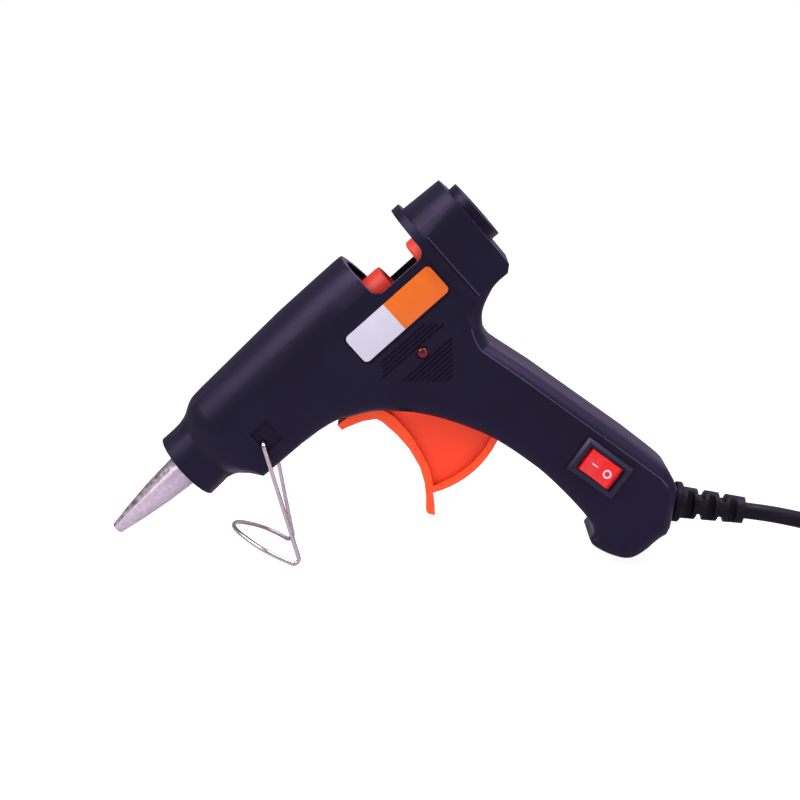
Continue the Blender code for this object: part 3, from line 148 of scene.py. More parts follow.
# the barrel's frame starts at the nozzle's tip, with X back along the barrel
tip = Vector((-0.0881, 0, 0.007177))
lean = math.radians(41.8)
barrel = Matrix.Translation(tip) @ Matrix.Rotation(-lean, 4, "Y")
cord_radius = 0.00235
pitch = cord_radius * 2 + 0.0007
hank_centre = Vector((0.1530, 0.0050, cord_radius + 0.0012))
hank_half = 0.0200
inner_bend = 0.0072
pinch = inner_bend - cord_radius - 0.00065
relief_drop = math.radians(7.5)
relief_way = Vector((math.cos(relief_drop), 0, -math.sin(relief_drop)))
relief_root = barrel @ Vector((0.122369, 0, -0.098175))
cord_exit = relief_root + relief_way * 0.0206


def sweep_points(start, start_way, end, end_way, steps):
    """Points of a smooth stretch that leaves and arrives in given directions."""
    out = []
    for k in range(steps + 1):
        t = k / steps
        out.append(
            start * (2 * t ** 3 - 3 * t ** 2 + 1) + start_way * (t ** 3 - 2 * t ** 2 + t)
            + end * (3 * t ** 2 - 2 * t ** 3) + end_way * (t ** 3 - t ** 2)
        )
    return out


def placed(name, data):
    """A new object at the origin with the given mesh or curve."""
    made = bpy.data.objects.new(name, data)
    bpy.context.scene.collection.objects.link(made)
    return made


def wire(name, points, radius, roundness=5):
    """A round tube along one line of points."""
    line = bpy.data.curves.new(name, "CURVE")
    line.dimensions = "3D"
    line.bevel_depth = radius
    line.bevel_resolution = roundness
    line.use_fill_caps = True
    spline = line.splines.new("POLY")
    spline.points.add(len(points) - 1)
    for point, p in zip(spline.points, points):
        point.co = (*p, 1)
    spline.use_smooth = True
    return placed(name, line)


def ease(t):
    """A share that starts and ends gently."""
    return t * t * (3 - 2 * t)


def on_hank(along, across, level):
    """A place on the hank, from its centre and its lowest turn."""
    return hank_centre + Vector((along, across, pitch * level))


# three turns climb round the outside, four come down within them, all pinched in by the tie
hank = []
radius = inner_bend + pitch
for turn in range(8):
    before, radius = radius, inner_bend + pitch * (turn < 3)
    level = 1 + turn if turn < 3 else 7 - turn
    climb = 1 if turn < 3 else -1
    along = [k / 12 for k in range(13)]
    squeeze = [pinch * ease(min(1, 3 * min(t, 1 - t))) for t in along]
    for t, s in zip(along, squeeze):
        side = before + (radius - before) * ease(t) - s
        hank.append(on_hank(hank_half * (2 * t - 1), -side, level))
    if turn == 7:
        break
    bend = math.pi * radius
    whole = bend * 2 + hank_half * 2
    for k in range(1, 14):
        angle = math.pi * (k / 14 - 0.5)
        high = level + climb * bend * k / 14 / whole
        hank.append(on_hank(hank_half + radius * math.cos(angle), radius * math.sin(angle), high))
    for t, s in zip(along, squeeze):
        high = level + climb * (bend + hank_half * 2 * t) / whole
        hank.append(on_hank(hank_half * (1 - 2 * t), radius - s, high))
    for k in range(1, 14):
        angle = math.pi * (k / 14 + 0.5)
        high = level + climb * (bend + hank_half * 2 + bend * k / 14) / whole
        hank.append(on_hank(-hank_half + radius * math.cos(angle), radius * math.sin(angle), high))
one_wide = Vector((cord_radius * 2, 0, 0))
first = cord_exit + relief_way * cord_radius * 2
last = hank[0] - one_wide * 2
pull = (last - first).length
route = [cord_exit] + sweep_points(first, relief_way * pull, last, Vector((pull, 0, 0)), 20)
route += [hank[0] - one_wide] + hank
route.append(hank[-1] + Vector((inner_bend + pitch + cord_radius, 0, 0)) + one_wide)
plug_back = Vector((route[-1].x + 0.0253, route[-1].y, 0.0066))
pull = Vector((0.0156, 0, 0))
route += sweep_points(route[-1] + one_wide, pull, plug_back - one_wide, pull, 12)
route.append(plug_back - Vector((0.0003, 0, 0)))
mains_cord = wire("mains_cord", route, cord_radius, 6)


def material(name):
    """A new material and the object coordinates that its patterns read."""
    made = bpy.data.materials.new(name)
    made.use_nodes = True
    return made, add(made, "TexCoord", {}).outputs["Object"]


def coat(look, inputs):
    """Values and links of a material's own shader."""
    set_inputs(look, look.node_tree.nodes["Principled BSDF"], inputs)


def noise(look, where, size, detail, roughness=0.5):
    """Cloudy noise with features of a real size in metres."""
    inputs = {"Vector": where, "Scale": 1 / size, "Detail": detail, "Roughness": roughness}
    return add(look, "TexNoise", inputs).outputs["Fac"]


def ranged(look, value, taken, given):
    """A value taken from one range and given in another."""
    names = ("From Min", "From Max", "To Min", "To Max")
    return add(look, "MapRange", {"Value": value, **dict(zip(names, taken + given))}).outputs[0]


def ramp(look, value, low, first, high, second):
    """A colour between two hex codes, which hold below and above two values."""
    made = add(look, "ValToRGB", {"Fac": value})
    for stop, place, code in zip(made.color_ramp.elements, (low, high), (first, second)):
        stop.position = place
        stop.color = paint(code)
    return made.outputs[0]


def bumped(look, height, strength, distance, under=None):
    """A raised pattern, on top of another if one is given."""
    inputs = {"Height": height, "Strength": strength, "Distance": distance}
    return add(look, "Bump", {**inputs, "Normal": under} if under else inputs).outputs[0]


# soft PVC, drawn: a dull black with faint scuffs that break the highlight along its length
black_pvc, spot = material("drawn_black_pvc")
scuff = noise(black_pvc, spot, 0.006, 5, 0.6)
tone = ramp(black_pvc, scuff, 0.35, "#0a0910", 0.75, "#110f18")
dull = ranged(black_pvc, scuff, (0.3, 0.7), (0.42, 0.60))
skin = noise(black_pvc, spot, 0.0004, 2)
fine = bumped(black_pvc, skin, 0.25, 0.00003)
coat(black_pvc, {"Specular IOR Level": 0.15, "Base Color": tone, "Roughness": dull, "Normal": fine})
mains_cord.data.materials.append(black_pvc)
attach(mains_cord, "housing")
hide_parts("power_cord", "cord_coil", "plug_lead")


# Cable tie: one strap of black nylon 66, moulded in one with its square locking head.
# It is pulled tight round the middle of the hank.
def pick(*pieces):
    """Selects pieces and nothing else, the first one active."""
    bpy.ops.object.select_all(action="DESELECT")
    for piece in pieces:
        piece.select_set(True)
    bpy.context.view_layer.objects.active = pieces[0]


def welded(node, name):
    """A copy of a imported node, its loose triangles merged into whole faces."""
    made = placed(name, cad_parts[node].data.copy())
    made.data.materials.clear()
    pick(made)
    if made.data.has_custom_normals:
        bpy.ops.mesh.customdata_custom_splitnormals_clear()
    bpy.ops.object.mode_set(mode="EDIT")
    bpy.ops.mesh.select_all(action="SELECT")
    bpy.ops.mesh.remove_doubles(threshold=0.000004)
    bpy.ops.mesh.dissolve_limited(angle_limit=math.radians(0.6))
    bpy.ops.object.mode_set(mode="OBJECT")
    return made


def shape(made, kind, **settings):
    """Adds one modifier with its settings and applies it."""
    pick(made)
    change = made.modifiers.new(kind.lower(), kind)
    for name, value in settings.items():
        setattr(change, name, value)
    bpy.ops.object.modifier_apply(modifier=change.name)


def soften(made, width, steps=2, limit=35, strip=-1):
    """Rounds the hard edges a little and smooths the rest, as a mould or a tumbler does."""
    angle = math.radians(limit)
    if width:
        where = {"limit_method": "ANGLE", "angle_limit": angle}
        shape(made, "BEVEL", width=width, segments=steps, material=strip, **where)
    pick(made)
    bpy.ops.object.shade_smooth_by_angle(angle=angle)


def fit(made, look, body, *nodes, slot=None):
    """Gives a finished piece its material, its body and the nodes it stands for."""
    made.data.materials.clear()
    made.data.materials.append(look)
    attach(made, body)
    if nodes:
        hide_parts(*nodes)
    return made


# nylon 66, moulded: black with a slight gloss
black_nylon, spot = material("moulded_black_nylon")
grain = noise(black_nylon, spot, 0.0008, 3)
dull = ranged(black_nylon, grain, (0, 1), (0.34, 0.5))
inputs = {"Vector": spot, "Scale": 1 / 0.0200, "Distortion": 0}
teeth = add(black_nylon, "TexWave", inputs, bands_direction="X")
ridge = bumped(black_nylon, teeth.outputs["Fac"], 0.4, 0.0001)
coat(black_nylon, {"Base Color": "#1b1b1d", "IOR": 1.53, "Roughness": dull, "Normal": ridge})
strap = welded("coil_tie", "hank_strap")
soften(strap, 0.00018)
fit(strap, black_nylon, "housing", "coil_tie", slot="tie_nylon")


# Mains plug: black PVC moulded over two flat nickel-plated brass blades, with finger ridges
# across the grip.
def rod(radius, depth, place, turn, vertices):
    """A short round bar to build on or cut with."""
    bpy.ops.object.select_all(action="DESELECT")
    bpy.ops.mesh.primitive_cylinder_add(
        vertices=vertices, radius=radius, depth=depth, location=place, rotation=turn,
    )
    bpy.ops.object.transform_apply()
    return bpy.context.object


def joined(pieces, name):
    """Several pieces made into one."""
    pick(*pieces)
    bpy.ops.object.join()
    bpy.context.object.name = name
    return bpy.context.object


def carve(made, tool, operation="DIFFERENCE"):
    """Cuts one piece with another, or grows it by it, and takes the tool away."""
    shape(made, "BOOLEAN", object=tool, operation=operation, solver="EXACT")
    bpy.data.objects.remove(tool)


moulded_pvc = black_pvc.copy()
moulded_pvc.name = "moulded_black_pvc"
grip = welded("plug_body", "plug_grip")
soften(grip, 0.0005, 3, 25)
fit(grip, moulded_pvc, "housing", "plug_body", slot="plug_black")
low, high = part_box("plug_body")
middle = (low + high) / 2
crosswise = (math.pi / 2, 0, 0)
ridges = []
for side in (-1, 1):
    for k in range(4):
        place = (high.x - 0.0120 + 0.0022 * k, middle.y, middle.z + side * 0.0065)
        ridges.append(rod(0.0005, 0.0100, place, crosswise, 12))
ridges = joined(ridges, "plug_ridges")
soften(ridges, 0.0002)
fit(ridges, moulded_pvc, "housing", slot="plug_black")

# nickel on brass, rolled and stamped: a warm white metal with fine lines along the blade
nickel, spot = material("nickel_plated_brass")
drawn = add(nickel, "Mapping", {"Vector": spot, "Scale": (0.06, 1, 1)})
lines = noise(nickel, drawn.outputs[0], 0.0003, 3)
dull = ranged(nickel, lines, (0.3, 0.7), (0.22, 0.36))
coat(nickel, {"Base Color": "#cdc3b4", "Metallic": 1.0, "Roughness": dull})
for node in ("plug_blade_near", "plug_blade_far"):
    blade = welded(node, node.replace("plug_", "plug_contact_"))
    low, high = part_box(node)
    hole = (high.x - 0.0042, (low.y + high.y) / 2, (low.z + high.z) / 2)
    carve(blade, rod(0.0015, 0.01, hole, crosswise, 32))
    soften(blade, 0.00022)
    fit(blade, nickel, "housing", node, slot="blade_metal")


# Housing: two halves moulded in black ABS with a fine spark-eroded grain, screwed together
# from the far side. The flat sides meet the rounded back in a crisp line.
abs_black, spot = material("satin_black_abs")
cloud = noise(abs_black, spot, 0.030, 4, 0.55)
tone = ramp(abs_black, cloud, 0.3, "#0e101a", 0.7, "#121521")
handled = noise(abs_black, spot, 0.009, 6, 0.65)
dull = ranged(abs_black, handled, (0.3, 0.7), (0.36, 0.46))
# the spark grain, about 0.1 mm, is drawn at 0.3 mm so that it shows
spark = noise(abs_black, spot, 0.0003, 3, 0.6)
fine = bumped(abs_black, spark, 0.22, 0.00004)
coat(abs_black, {
    "IOR": 1.50, "Specular IOR Level": 0.26, "Specular Tint": "#e0c4ff", "Sheen Weight": 0.05,
    "Sheen Roughness": 0.4, "Sheen Tint": "#a070e0", "Base Color": tone,
    "Roughness": dull, "Normal": fine,
})

# the same plastic, smoother, with light and shade painted in: a painted highlight, pale on its edges
# and less pale on beads and slot walls, and painted shade, darker than the skin, in the strokes round the
# lamp
edge_highlight_abs, line_highlight_abs, stroke_shade_abs = abs_black.copy(), abs_black.copy(), abs_black.copy()
for look, name, dark, light, shine in (
    (edge_highlight_abs, "painted_highlight_edge_abs", "#625f70", "#6e6b7c", 0.5),
    (line_highlight_abs, "painted_highlight_line_abs", "#343140", "#3c3949", 0.5),
    (stroke_shade_abs, "painted_shade_line_abs", "#050508", "#08080c", 0.1),
):
    look.name = name
    for part in look.node_tree.nodes:
        if part.type == "VALTORGB":
            part.color_ramp.elements[0].color = paint(dark)
            part.color_ramp.elements[1].color = paint(light)
        elif part.type == "MAP_RANGE":
            part.inputs["To Min"].default_value = 0.24
            part.inputs["To Max"].default_value = 0.34
        elif part.type == "BSDF_PRINCIPLED":
            part.inputs["Specular IOR Level"].default_value = shine

to_barrel = barrel.inverted()
flat_side = 0.0135
full_round = 0.0053
# the flatter arc's radius as a share of the rounding's, and where its crease lies on the flat side
arc_radius = 1.113
crease_gap = 0.00331
slot_front, wall_lean, wall_height = 0.1000, 0.0009, 0.0150
# the back edge of tower, handle and butt in the barrel's frame: along, up, share of the rounding
back_edge = [
    (0.1182, -0.0215, 0.75), (0.1162, -0.0247, 1.0), (0.1154, -0.0276, 1.0), (0.1156, -0.0303, 1.0),
    (0.1282, -0.0850, 1.0), (0.1282, -0.0886, 0.9), (0.1276, -0.0918, 0.75), (0.1266, -0.0945, 0.65),
    (0.1181, -0.1018, 0.65),
]


def from_back(p):
    """A barrel-frame point's gap from the back edge, and the nearest place, share and point on it."""
    best = (1, 0, 1, None)
    for k, (a, b) in enumerate(zip(back_edge, back_edge[1:])):
        start, way = Vector(a[:2]), Vector(b[:2]) - Vector(a[:2])
        t = max(0, min(1, (Vector((p.x, p.z)) - start).dot(way) / way.length_squared))
        spot = start + way * t
        gap = (Vector((p.x, p.z)) - spot).length
        if gap < best[0]:
            best = (gap, k + t, a[2] + (b[2] - a[2]) * t, spot)
    return best


def crease_back(made):
    """Fills the back rounding out to an arc that meets the side in a crease, and leans the slot's wall."""
    for vertex in made.data.vertices:
        p = to_barrel @ vertex.co
        if abs(p.x - slot_front) < 0.0022 and p.z > 0.001:
            vertex.co = barrel @ (p - Vector((wall_lean * min(1, p.z / wall_height), 0, 0)))
            continue
        gap, along, share, spot = from_back(p)
        deep = full_round * share
        rise = (abs(p.y) - flat_side + deep) / deep
        if along in (0, len(back_edge) - 1) or not 0 < rise < 1.01:
            continue
        inset = deep * (1 - math.sqrt(max(0, 1 - rise * rise)))
        arc = deep * (arc_radius - math.sqrt(max(0, arc_radius ** 2 - rise * rise)))
        if abs(gap - inset) < 0.00025:
            move = (Vector((p.x, p.z)) - spot) * (arc / gap - 1 if gap > 0.00001 else 0)
            vertex.co = barrel @ (p + Vector((move.x, 0, move.y)))


# where screw posts, the relief hole or the collar cut into the rounded edge, it is left as it is:
# place along and up, and reach
left_alone = [
    (0.0430, 0.0050, 0.0085), (0.0435, -0.0150, 0.0045), (0.0570, -0.0150, 0.0075),
    (0.1160, -0.0201, 0.0022), (0.1311, -0.0173, 0.0020), (0.1178, -0.1012, 0.0032),
    (0.1235, -0.0935, 0.0070), (0.0857, -0.0281, 0.0030), (0.0452, 0.0135, 0.0016),
]


def mark_columns(made, outward):
    """Marks the edges that run across the outer skin between two facets of a curved outline."""
    mesh = made.data
    sides = {}
    for face in mesh.polygons:
        for key in face.edge_keys:
            sides.setdefault(key, []).append(face.normal)
    found, steep = {}, []
    for edge in mesh.edges:
        edge.select = False
        pair = sides.get(edge.key, [])
        if len(pair) != 2 or abs(abs(pair[0].y) - abs(pair[1].y)) > 0.08:
            continue
        flat = [Vector((n.x, n.z)) for n in pair]
        if min(f.length for f in flat) < 0.25 or not 3 < math.degrees(flat[0].angle(flat[1])) < 42:
            continue
        a, b = (mesh.vertices[v].co for v in edge.vertices)
        way = (b - a).normalized()
        p = to_barrel @ ((a + b) / 2)
        if any(math.hypot(p.x - x, p.z - z) < reach for x, z, reach in left_alone):
            continue
        lean_out = (pair[0].y + pair[1].y) / 2 * outward
        if abs(way.y) < 0.72 * math.sqrt(max(0, 1 - lean_out ** 2)):
            continue
        found[edge.index] = (lean_out, way)
        if lean_out > 0.05:
            edge.select = True
            steep.append(edge)
    touched = {}
    for edge in steep:
        for v in edge.vertices:
            touched[v] = found[edge.index][1]
    for index, (lean_out, way) in found.items():
        edge = mesh.edges[index]
        goes_on = any(v in touched and abs(touched[v].dot(way)) > 0.8 for v in edge.vertices)
        if abs(lean_out) <= 0.05 and goes_on:
            edge.select = True


def round_marked(made, steps):
    """Turns each marked edge into an arc that reaches nearly to its neighbours."""
    pick(made)
    chosen = [edge.index for edge in made.data.edges if edge.select]
    bpy.ops.object.mode_set(mode="EDIT")
    bpy.ops.mesh.select_mode(type="EDGE")
    bpy.ops.mesh.select_all(action="DESELECT")
    bpy.ops.object.mode_set(mode="OBJECT")
    for index in chosen:
        made.data.edges[index].select = True
    bpy.ops.object.mode_set(mode="EDIT")
    bpy.ops.mesh.bevel(
        offset_type="PERCENT", offset_pct=42, segments=steps, affect="EDGES", clamp_overlap=False,
    )
    bpy.ops.mesh.select_mode(type="VERT")
    bpy.ops.object.mode_set(mode="OBJECT")


# the outline drawn in by fractions of a millimetre toward the photograph's, in the barrel's frame:
# place along and up, then the shift along and up, all in mm
outline_shifts = (
    (133.3, 13.2, -0.20, -0.19), (133.3, -16.4, -0.56, 0.26), (131.3, -18.1, -0.19, 0.52),
    (126.5, -18.1, -0.06, 0.42), (115.4, -27.6, -0.63, 0.07), (115.6, -30.3, -0.69, -0.09),
    (128.2, -85.0, -0.42, -0.04), (127.6, -91.8, -0.34, 0.10), (126.6, -94.5, -0.41, 0.29),
    (118.1, -101.8, -0.32, 0.47), (116.0, -102.9, -0.24, 1.41), (112.9, -102.5, 0.07, 1.09),
    (106.5, -102.5, 0.19, 1.09), (102.2, -101.0, 0.77, 0.92), (99.6, -96.5, 0.92, 0.40),
    (98.4, -93.0, 0.70, 0.18), (100.6, -87.4, 0.52, -0.67), (77.3, -21.9, 0.15, 0.24),
    (68.5, -17.5, 0.10, 0.34), (63.1, -16.5, 0.03, 0.28), (57.1, -16.1, 0.01, 0.35),
    (39.9, -13.6, 0.63, 0.96), (35.2, -10.4, 0.18, 0.61),
)
label_place, label_half, label_lift = (0.1012, -0.00645), (0.0158, 0.0051), 0.0004


def nudged(p):
    """A barrel-frame point moved with the outline near it, or with the label's recess."""
    along, up = abs(p.x - label_place[0]), abs(p.z - label_place[1])
    if along < label_half[0] and up < label_half[1] and p.y < -0.0129:
        return p + Vector((0, 0, label_lift))
    shift, total = Vector(), 0
    for along, up, by_along, by_up in outline_shifts:
        near = math.exp(-((p.x * 1000 - along) ** 2 + (p.z * 1000 - up) ** 2) / 12.5)
        shift += Vector((by_along, 0, by_up)) * (near / 1000)
        total += near
    return p + shift / max(1, total)


bead_spots = []
post_centre = Vector((0.0870, 0, -0.0260))
post_radius = 0.0030
slot_from, slot_to, slot_foot, slot_top, wall_inside = 0.0960, 0.1190, -0.0015, 0.0170, 0.006
for node, side in (("near_shell", -1), ("far_shell", 1)):
    half = welded(node, node.replace("shell", "housing_half"))
    crease_back(half)
    mark_columns(half, side)
    round_marked(half, 3)
    # points on the crease, from the tower's foot down to the butt, by their place on the back edge
    line = {}
    for vertex in half.data.vertices:
        p = to_barrel @ vertex.co
        gap, along, share, _ = from_back(p)
        on_side = abs(abs(p.y) - flat_side) < 0.00002 and 0.2 < along < 7.0
        if on_side and abs(gap - crease_gap * share) < 0.0004:
            line[along] = vertex.co.copy()
    bead_spots.append([barrel @ nudged(to_barrel @ line[k]) for k in sorted(line)])
    for vertex in half.data.vertices:
        p = to_barrel @ vertex.co
        # the end of the trigger's post is drawn in behind the belly's edge
        spoke = Vector((p.x, 0, p.z)) - post_centre
        if abs(spoke.length - post_radius) < 0.0001 and p.x < 0.0872 and p.z < -0.0274:
            p -= spoke * 0.20
        vertex.co = barrel @ nudged(p)
    half.data.materials.append(abs_black)
    half.data.materials.append(edge_highlight_abs)
    # the bevel's faces take the pale edge material: a painted highlight along every rounded edge
    soften(half, 0.00030, 2, 24, strip=1)
    shape(half, "WEIGHTED_NORMAL", weight=60, keep_sharp=True)
    # the tops and the end of the slot's walls get the less pale material, a painted highlight such as a
    # lit edge shows
    strips = []
    for face in half.data.polygons:
        p, n = to_barrel @ face.center, to_barrel.to_3x3() @ face.normal
        in_slot = slot_from < p.x < slot_to and slot_foot < p.z < slot_top and abs(p.y) > wall_inside
        strips.append(2 if in_slot and max(n.x, n.z) > 0.85 else face.material_index)
    fit(half, abs_black, "housing", node, slot="black_shell")
    half.data.materials.append(edge_highlight_abs)
    half.data.materials.append(line_highlight_abs)
    half.data.polygons.foreach_set("material_index", strips)

# a fine raised bead in the mould follows the crease and the tower's front on both sides; its paler colour
# is a painted highlight
tower_front, bead_top, bead_length = 0.12125, 0.0040, 0.0212
for y in (-flat_side, flat_side):
    places = [Vector((tower_front, y, bead_top - bead_length * k / 8)) for k in range(9)]
    bead_spots.append([barrel @ place for place in places])
bead_names = ("crease_bead_near", "crease_bead_far", "tower_bead_near", "tower_bead_far")
for name, spots in zip(bead_names, bead_spots):
    fit(wire(name, spots, 0.00018, 3), line_highlight_abs, "housing", slot="black_shell")


def block(size, place=(0, 0, 0), turn=(0, 0, 0)):
    """A plain block to build on or cut with."""
    bpy.ops.object.select_all(action="DESELECT")
    bpy.ops.mesh.primitive_cube_add(size=1, location=place, rotation=turn)
    bpy.context.object.scale = size
    bpy.ops.object.transform_apply()
    return bpy.context.object


# moulded lines round the lamp: thin raised strokes along the barrel, clipped to a square patch, and
# coloured darker than the skin as painted shade
lamp_spot = Vector((0.0994, -0.0186))
stroke_pitch, stroke_width, stroke_height, shortest = 0.0011, 0.00030, 0.00036, 0.0015
below_label = -0.0122
strokes = []
for k in range(-10, 11):
    rise = k * stroke_pitch
    if lamp_spot.y + rise > below_label or abs(k) < 2:
        continue
    # the patch runs from 11 mm ahead of the lamp to 8 mm behind it, and 8 mm up and down
    bounds = []
    for low, high, across, shift in (
        (-0.0110, 0.0080, math.cos(lean), rise * math.sin(lean)),
        (-0.0080, 0.0080, math.sin(lean), -rise * math.cos(lean)),
    ):
        bounds.append(((low + shift) / across, (high + shift) / across))
    start, end = max(b[0] for b in bounds), min(b[1] for b in bounds)
    if end - start < shortest:
        continue
    middle = (lamp_spot.x + (start + end) / 2, -flat_side, lamp_spot.y + rise)
    strokes.append(block((end - start, stroke_height, stroke_width), middle))
strokes = joined(strokes, "side_lines")
strokes.data.transform(barrel)
soften(strokes, 0.00006)
fit(strokes, stroke_shade_abs, "housing", slot="black_shell")


# Housing screws: four self-tappers with crossed recesses, headed from steel wire and zinc-plated.
# They are sunk in the far half and hold the two halves together.
def metal(name, code, size, detail, taken, given):
    """A bare metal, brighter and duller in fine clouds."""
    made, spot = material(name)
    dull = ranged(made, noise(made, spot, size, detail), taken, given)
    coat(made, {"Base Color": code, "Metallic": 1.0, "Roughness": dull})
    return made


def turned(name, profile, steps=64):
    """A solid turned about the X axis from (along, radius) points, closed at its poles."""
    line = bpy.data.meshes.new(name)
    pairs = [(k, k + 1) for k in range(len(profile) - 1)]
    if profile[0][1] > 0:
        pairs.append((len(profile) - 1, 0))
    line.from_pydata([(a, 0, r) for a, r in profile], pairs, [])
    made = placed(name, line)
    shape(
        made, "SCREW", axis="X", steps=steps, render_steps=steps,
        use_merge_vertices=True, merge_threshold=0.000001,
    )
    bpy.ops.object.mode_set(mode="EDIT")
    bpy.ops.mesh.select_all(action="SELECT")
    bpy.ops.mesh.remove_doubles(threshold=0.000002)
    bpy.ops.mesh.normals_make_consistent(inside=False)
    bpy.ops.object.mode_set(mode="OBJECT")
    return made


zinc = metal("bright_zinc_plate", "#c4c2c0", 0.0007, 4, (0.3, 0.7), (0.25, 0.42))
shank, screw_head, head_seat = 0.0013, 0.0024, 0.0093
screw = turned("screw_model", [
    (-0.0189, 0), (-0.0176, shank), (0, shank), (0, screw_head), (0.0009, screw_head), (0.0014, 0.0021),
    (0.0017, 0.0016), (0.0019, 0.0009), (0.0019, 0),
], 40)
for angle in (0, math.pi / 2):
    carve(screw, block((0.0016, 0.0026, 0.0005), (0.0016, 0, 0), (angle, 0, 0)))
soften(screw, 0.00008)
# driven home, the crosses stop at different angles, in degrees
stops = {"screw_front": 270.25, "screw_tower": 270.25, "screw_grip": 212.96, "screw_butt": 212.96}
for node, stop in stops.items():
    low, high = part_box(node)
    middle = (low + high) / 2
    seat = Matrix.Translation((middle.x, head_seat, middle.z)) @ Matrix.Rotation(math.pi / 2, 4, "Z")
    copy = placed(node.replace("screw", "tapping_screw"), screw.data.copy())
    copy.data.transform(seat @ Matrix.Rotation(math.radians(stop), 4, "X"))
    fit(copy, zinc, "housing", node, slot="screw_steel")
bpy.data.objects.remove(screw)


# Rating label: printed polyester film in a shallow recess, white ahead and orange behind,
# left without print.
def mixed(look, share, first, second):
    """A colour between two, each a hex code or another node's colour."""
    return add(look, "Mix", {"Factor": share, 6: first, 7: second}, data_type="RGBA").outputs[2]


def calc(look, operation, *values):
    """One step of arithmetic between values or sockets."""
    return add(look, "Math", dict(enumerate(values)), operation=operation).outputs[0]


def along_barrel(look, where):
    """The parts of a place in the barrel's frame: along, across and up."""
    inputs = {"Vector": where, "Location": tip, "Rotation": (0, -lean, 0)}
    turned_in = add(look, "Mapping", inputs, vector_type="TEXTURE")
    return add(look, "SeparateXYZ", {"Vector": turned_in.outputs[0]})


film, spot = material("printed_polyester_film")
parts = along_barrel(film, spot)
colour_change = 0.1002
rear = calc(film, "GREATER_THAN", parts.outputs["X"], colour_change)
mottle = noise(film, spot, 0.004, 4)
white_ink = mixed(film, mottle, "#b3b4b9", "#bebfc4")
orange_ink = mixed(film, mottle, "#c85a00", "#d26404")
inks = mixed(film, rear, white_ink, orange_ink)
dull = ranged(film, mottle, (0, 1), (0.35, 0.48))
coat(film, {"IOR": 1.55, "Specular IOR Level": 0.35, "Base Color": inks, "Roughness": dull})
label = welded("rating_label", "label_film_sheet")
for vertex in label.data.vertices:
    vertex.co = barrel @ nudged(to_barrel @ vertex.co)
soften(label, 0.00004)
fit(label, film, "housing", "rating_label", slot="label_film")


# Nozzle: a die-cast aluminium cone and melt chamber in one, held by its neck in the housing.
# The cast skin is pitted, with parting lines along its upper and lower sides.
cast, spot = material("die_cast_aluminium")
cloud = noise(cast, spot, 0.0012, 6, 0.7)
tone = ramp(cast, cloud, 0.25, "#b4a8ae", 0.60, "#dcd0d6")
dull = ranged(cast, cloud, (0.3, 0.7), (0.46, 0.30))
# the upper flank is painted darker in patches, a painted shade for the dim room it reflects; along the
# flank below it runs a painted highlight
parts = along_barrel(cast, spot)
across = calc(cast, "POWER", parts.outputs["Y"], 2.0)
rise = calc(cast, "POWER", parts.outputs["Z"], 2.0)
reach = calc(cast, "POWER", calc(cast, "ADD", across, rise), 0.5)
height = calc(cast, "DIVIDE", parts.outputs["Z"], reach)
band = ranged(cast, height, (0.50, 0.60), (0.0, 1.0))
patch = noise(cast, spot, 0.0016, 5, 0.65)
blotch = ranged(cast, patch, (0.36, 0.62), (1.0, 0.25))
tarnish_and_shade = calc(cast, "MULTIPLY", band, blotch)
painted_shade_tone = mixed(cast, tarnish_and_shade, tone, "#57485c")
# painted highlight: a near-white line along the flank, fading toward the tip and broken in patches
glint_low = ranged(cast, height, (0.28, 0.42), (0.0, 1.0))
glint_high = ranged(cast, height, (0.50, 0.54), (1.0, 0.0))
glint_line = calc(cast, "MULTIPLY", glint_low, glint_high)
glint_fade = ranged(cast, parts.outputs["X"], (0.004, 0.020), (0.25, 1.0))
glint_patch = ranged(cast, patch, (0.38, 0.55), (0.25, 1.0))
glint_share = calc(cast, "MULTIPLY", glint_fade, glint_patch)
painted_glint = calc(cast, "MULTIPLY", glint_line, glint_share)
finished = mixed(cast, painted_glint, painted_shade_tone, "#fbf4f8")
pits = add(cast, "TexVoronoi", {"Vector": spot, "Scale": 1 / 0.0007, "Randomness": 1.0})
deep = ranged(cast, pits.outputs["Distance"], (0.05, 0.35), (0.0, 1.0))
rough = noise(cast, spot, 0.0005, 4, 0.7)
skin = bumped(cast, rough, 0.30, 0.0001)
pocked = bumped(cast, deep, 0.35, 0.00008, skin)
coat(cast, {"Metallic": 0.6, "Base Color": finished, "Roughness": dull, "Normal": pocked})

cone, chamber, neck, bore = 0.0047, 0.0074, 0.0057, 0.0039
nozzle = turned("nozzle_cast", [
    (-0.0003, 0.0006), (-0.0003, 0.0013), (-0.0002, 0.00152), (0.0001, 0.00170), (0.0080, 0.00300),
    (0.0160, 0.00402), (0.0245, cone), (0.0311, cone),
    (0.0311, chamber), (0.0342, chamber), (0.0342, neck), (0.0368, neck), (0.0368, chamber),
    (0.0720, chamber), (0.0720, bore), (0.0427, bore), (0.0267, 0.0012),
], 96)
# the saddle under the melt chamber takes the heater
carve(nozzle, block((0.0166, 0.0120, 0.0030), (0.04765, 0, -0.0071)), "UNION")
nozzle.data.transform(barrel)
soften(nozzle, 0.00015)
fit(nozzle, cast, "housing", "nozzle_casting", slot="cast_alloy")
# where the mould's halves met, a thin flash runs along the cone
for flip in (1, -1):
    flash = rod(0.00016, 0.0238, (0, 0, 0), (0, math.pi / 2, 0), 8)
    flash.name = "parting_flash_%s" % ("upper" if flip > 0 else "lower")
    slope = math.atan2(cone - 0.00168, 0.0241) * flip
    flash.data.transform(
        barrel @ Matrix.Rotation(math.radians(34), 4, "X")
        @ Matrix.Translation((0.01245, 0, flip * 0.00318)) @ Matrix.Rotation(-slope, 4, "Y")
    )
    soften(flash, 0.00004)
    fit(flash, cast, "housing", slot="cast_alloy")


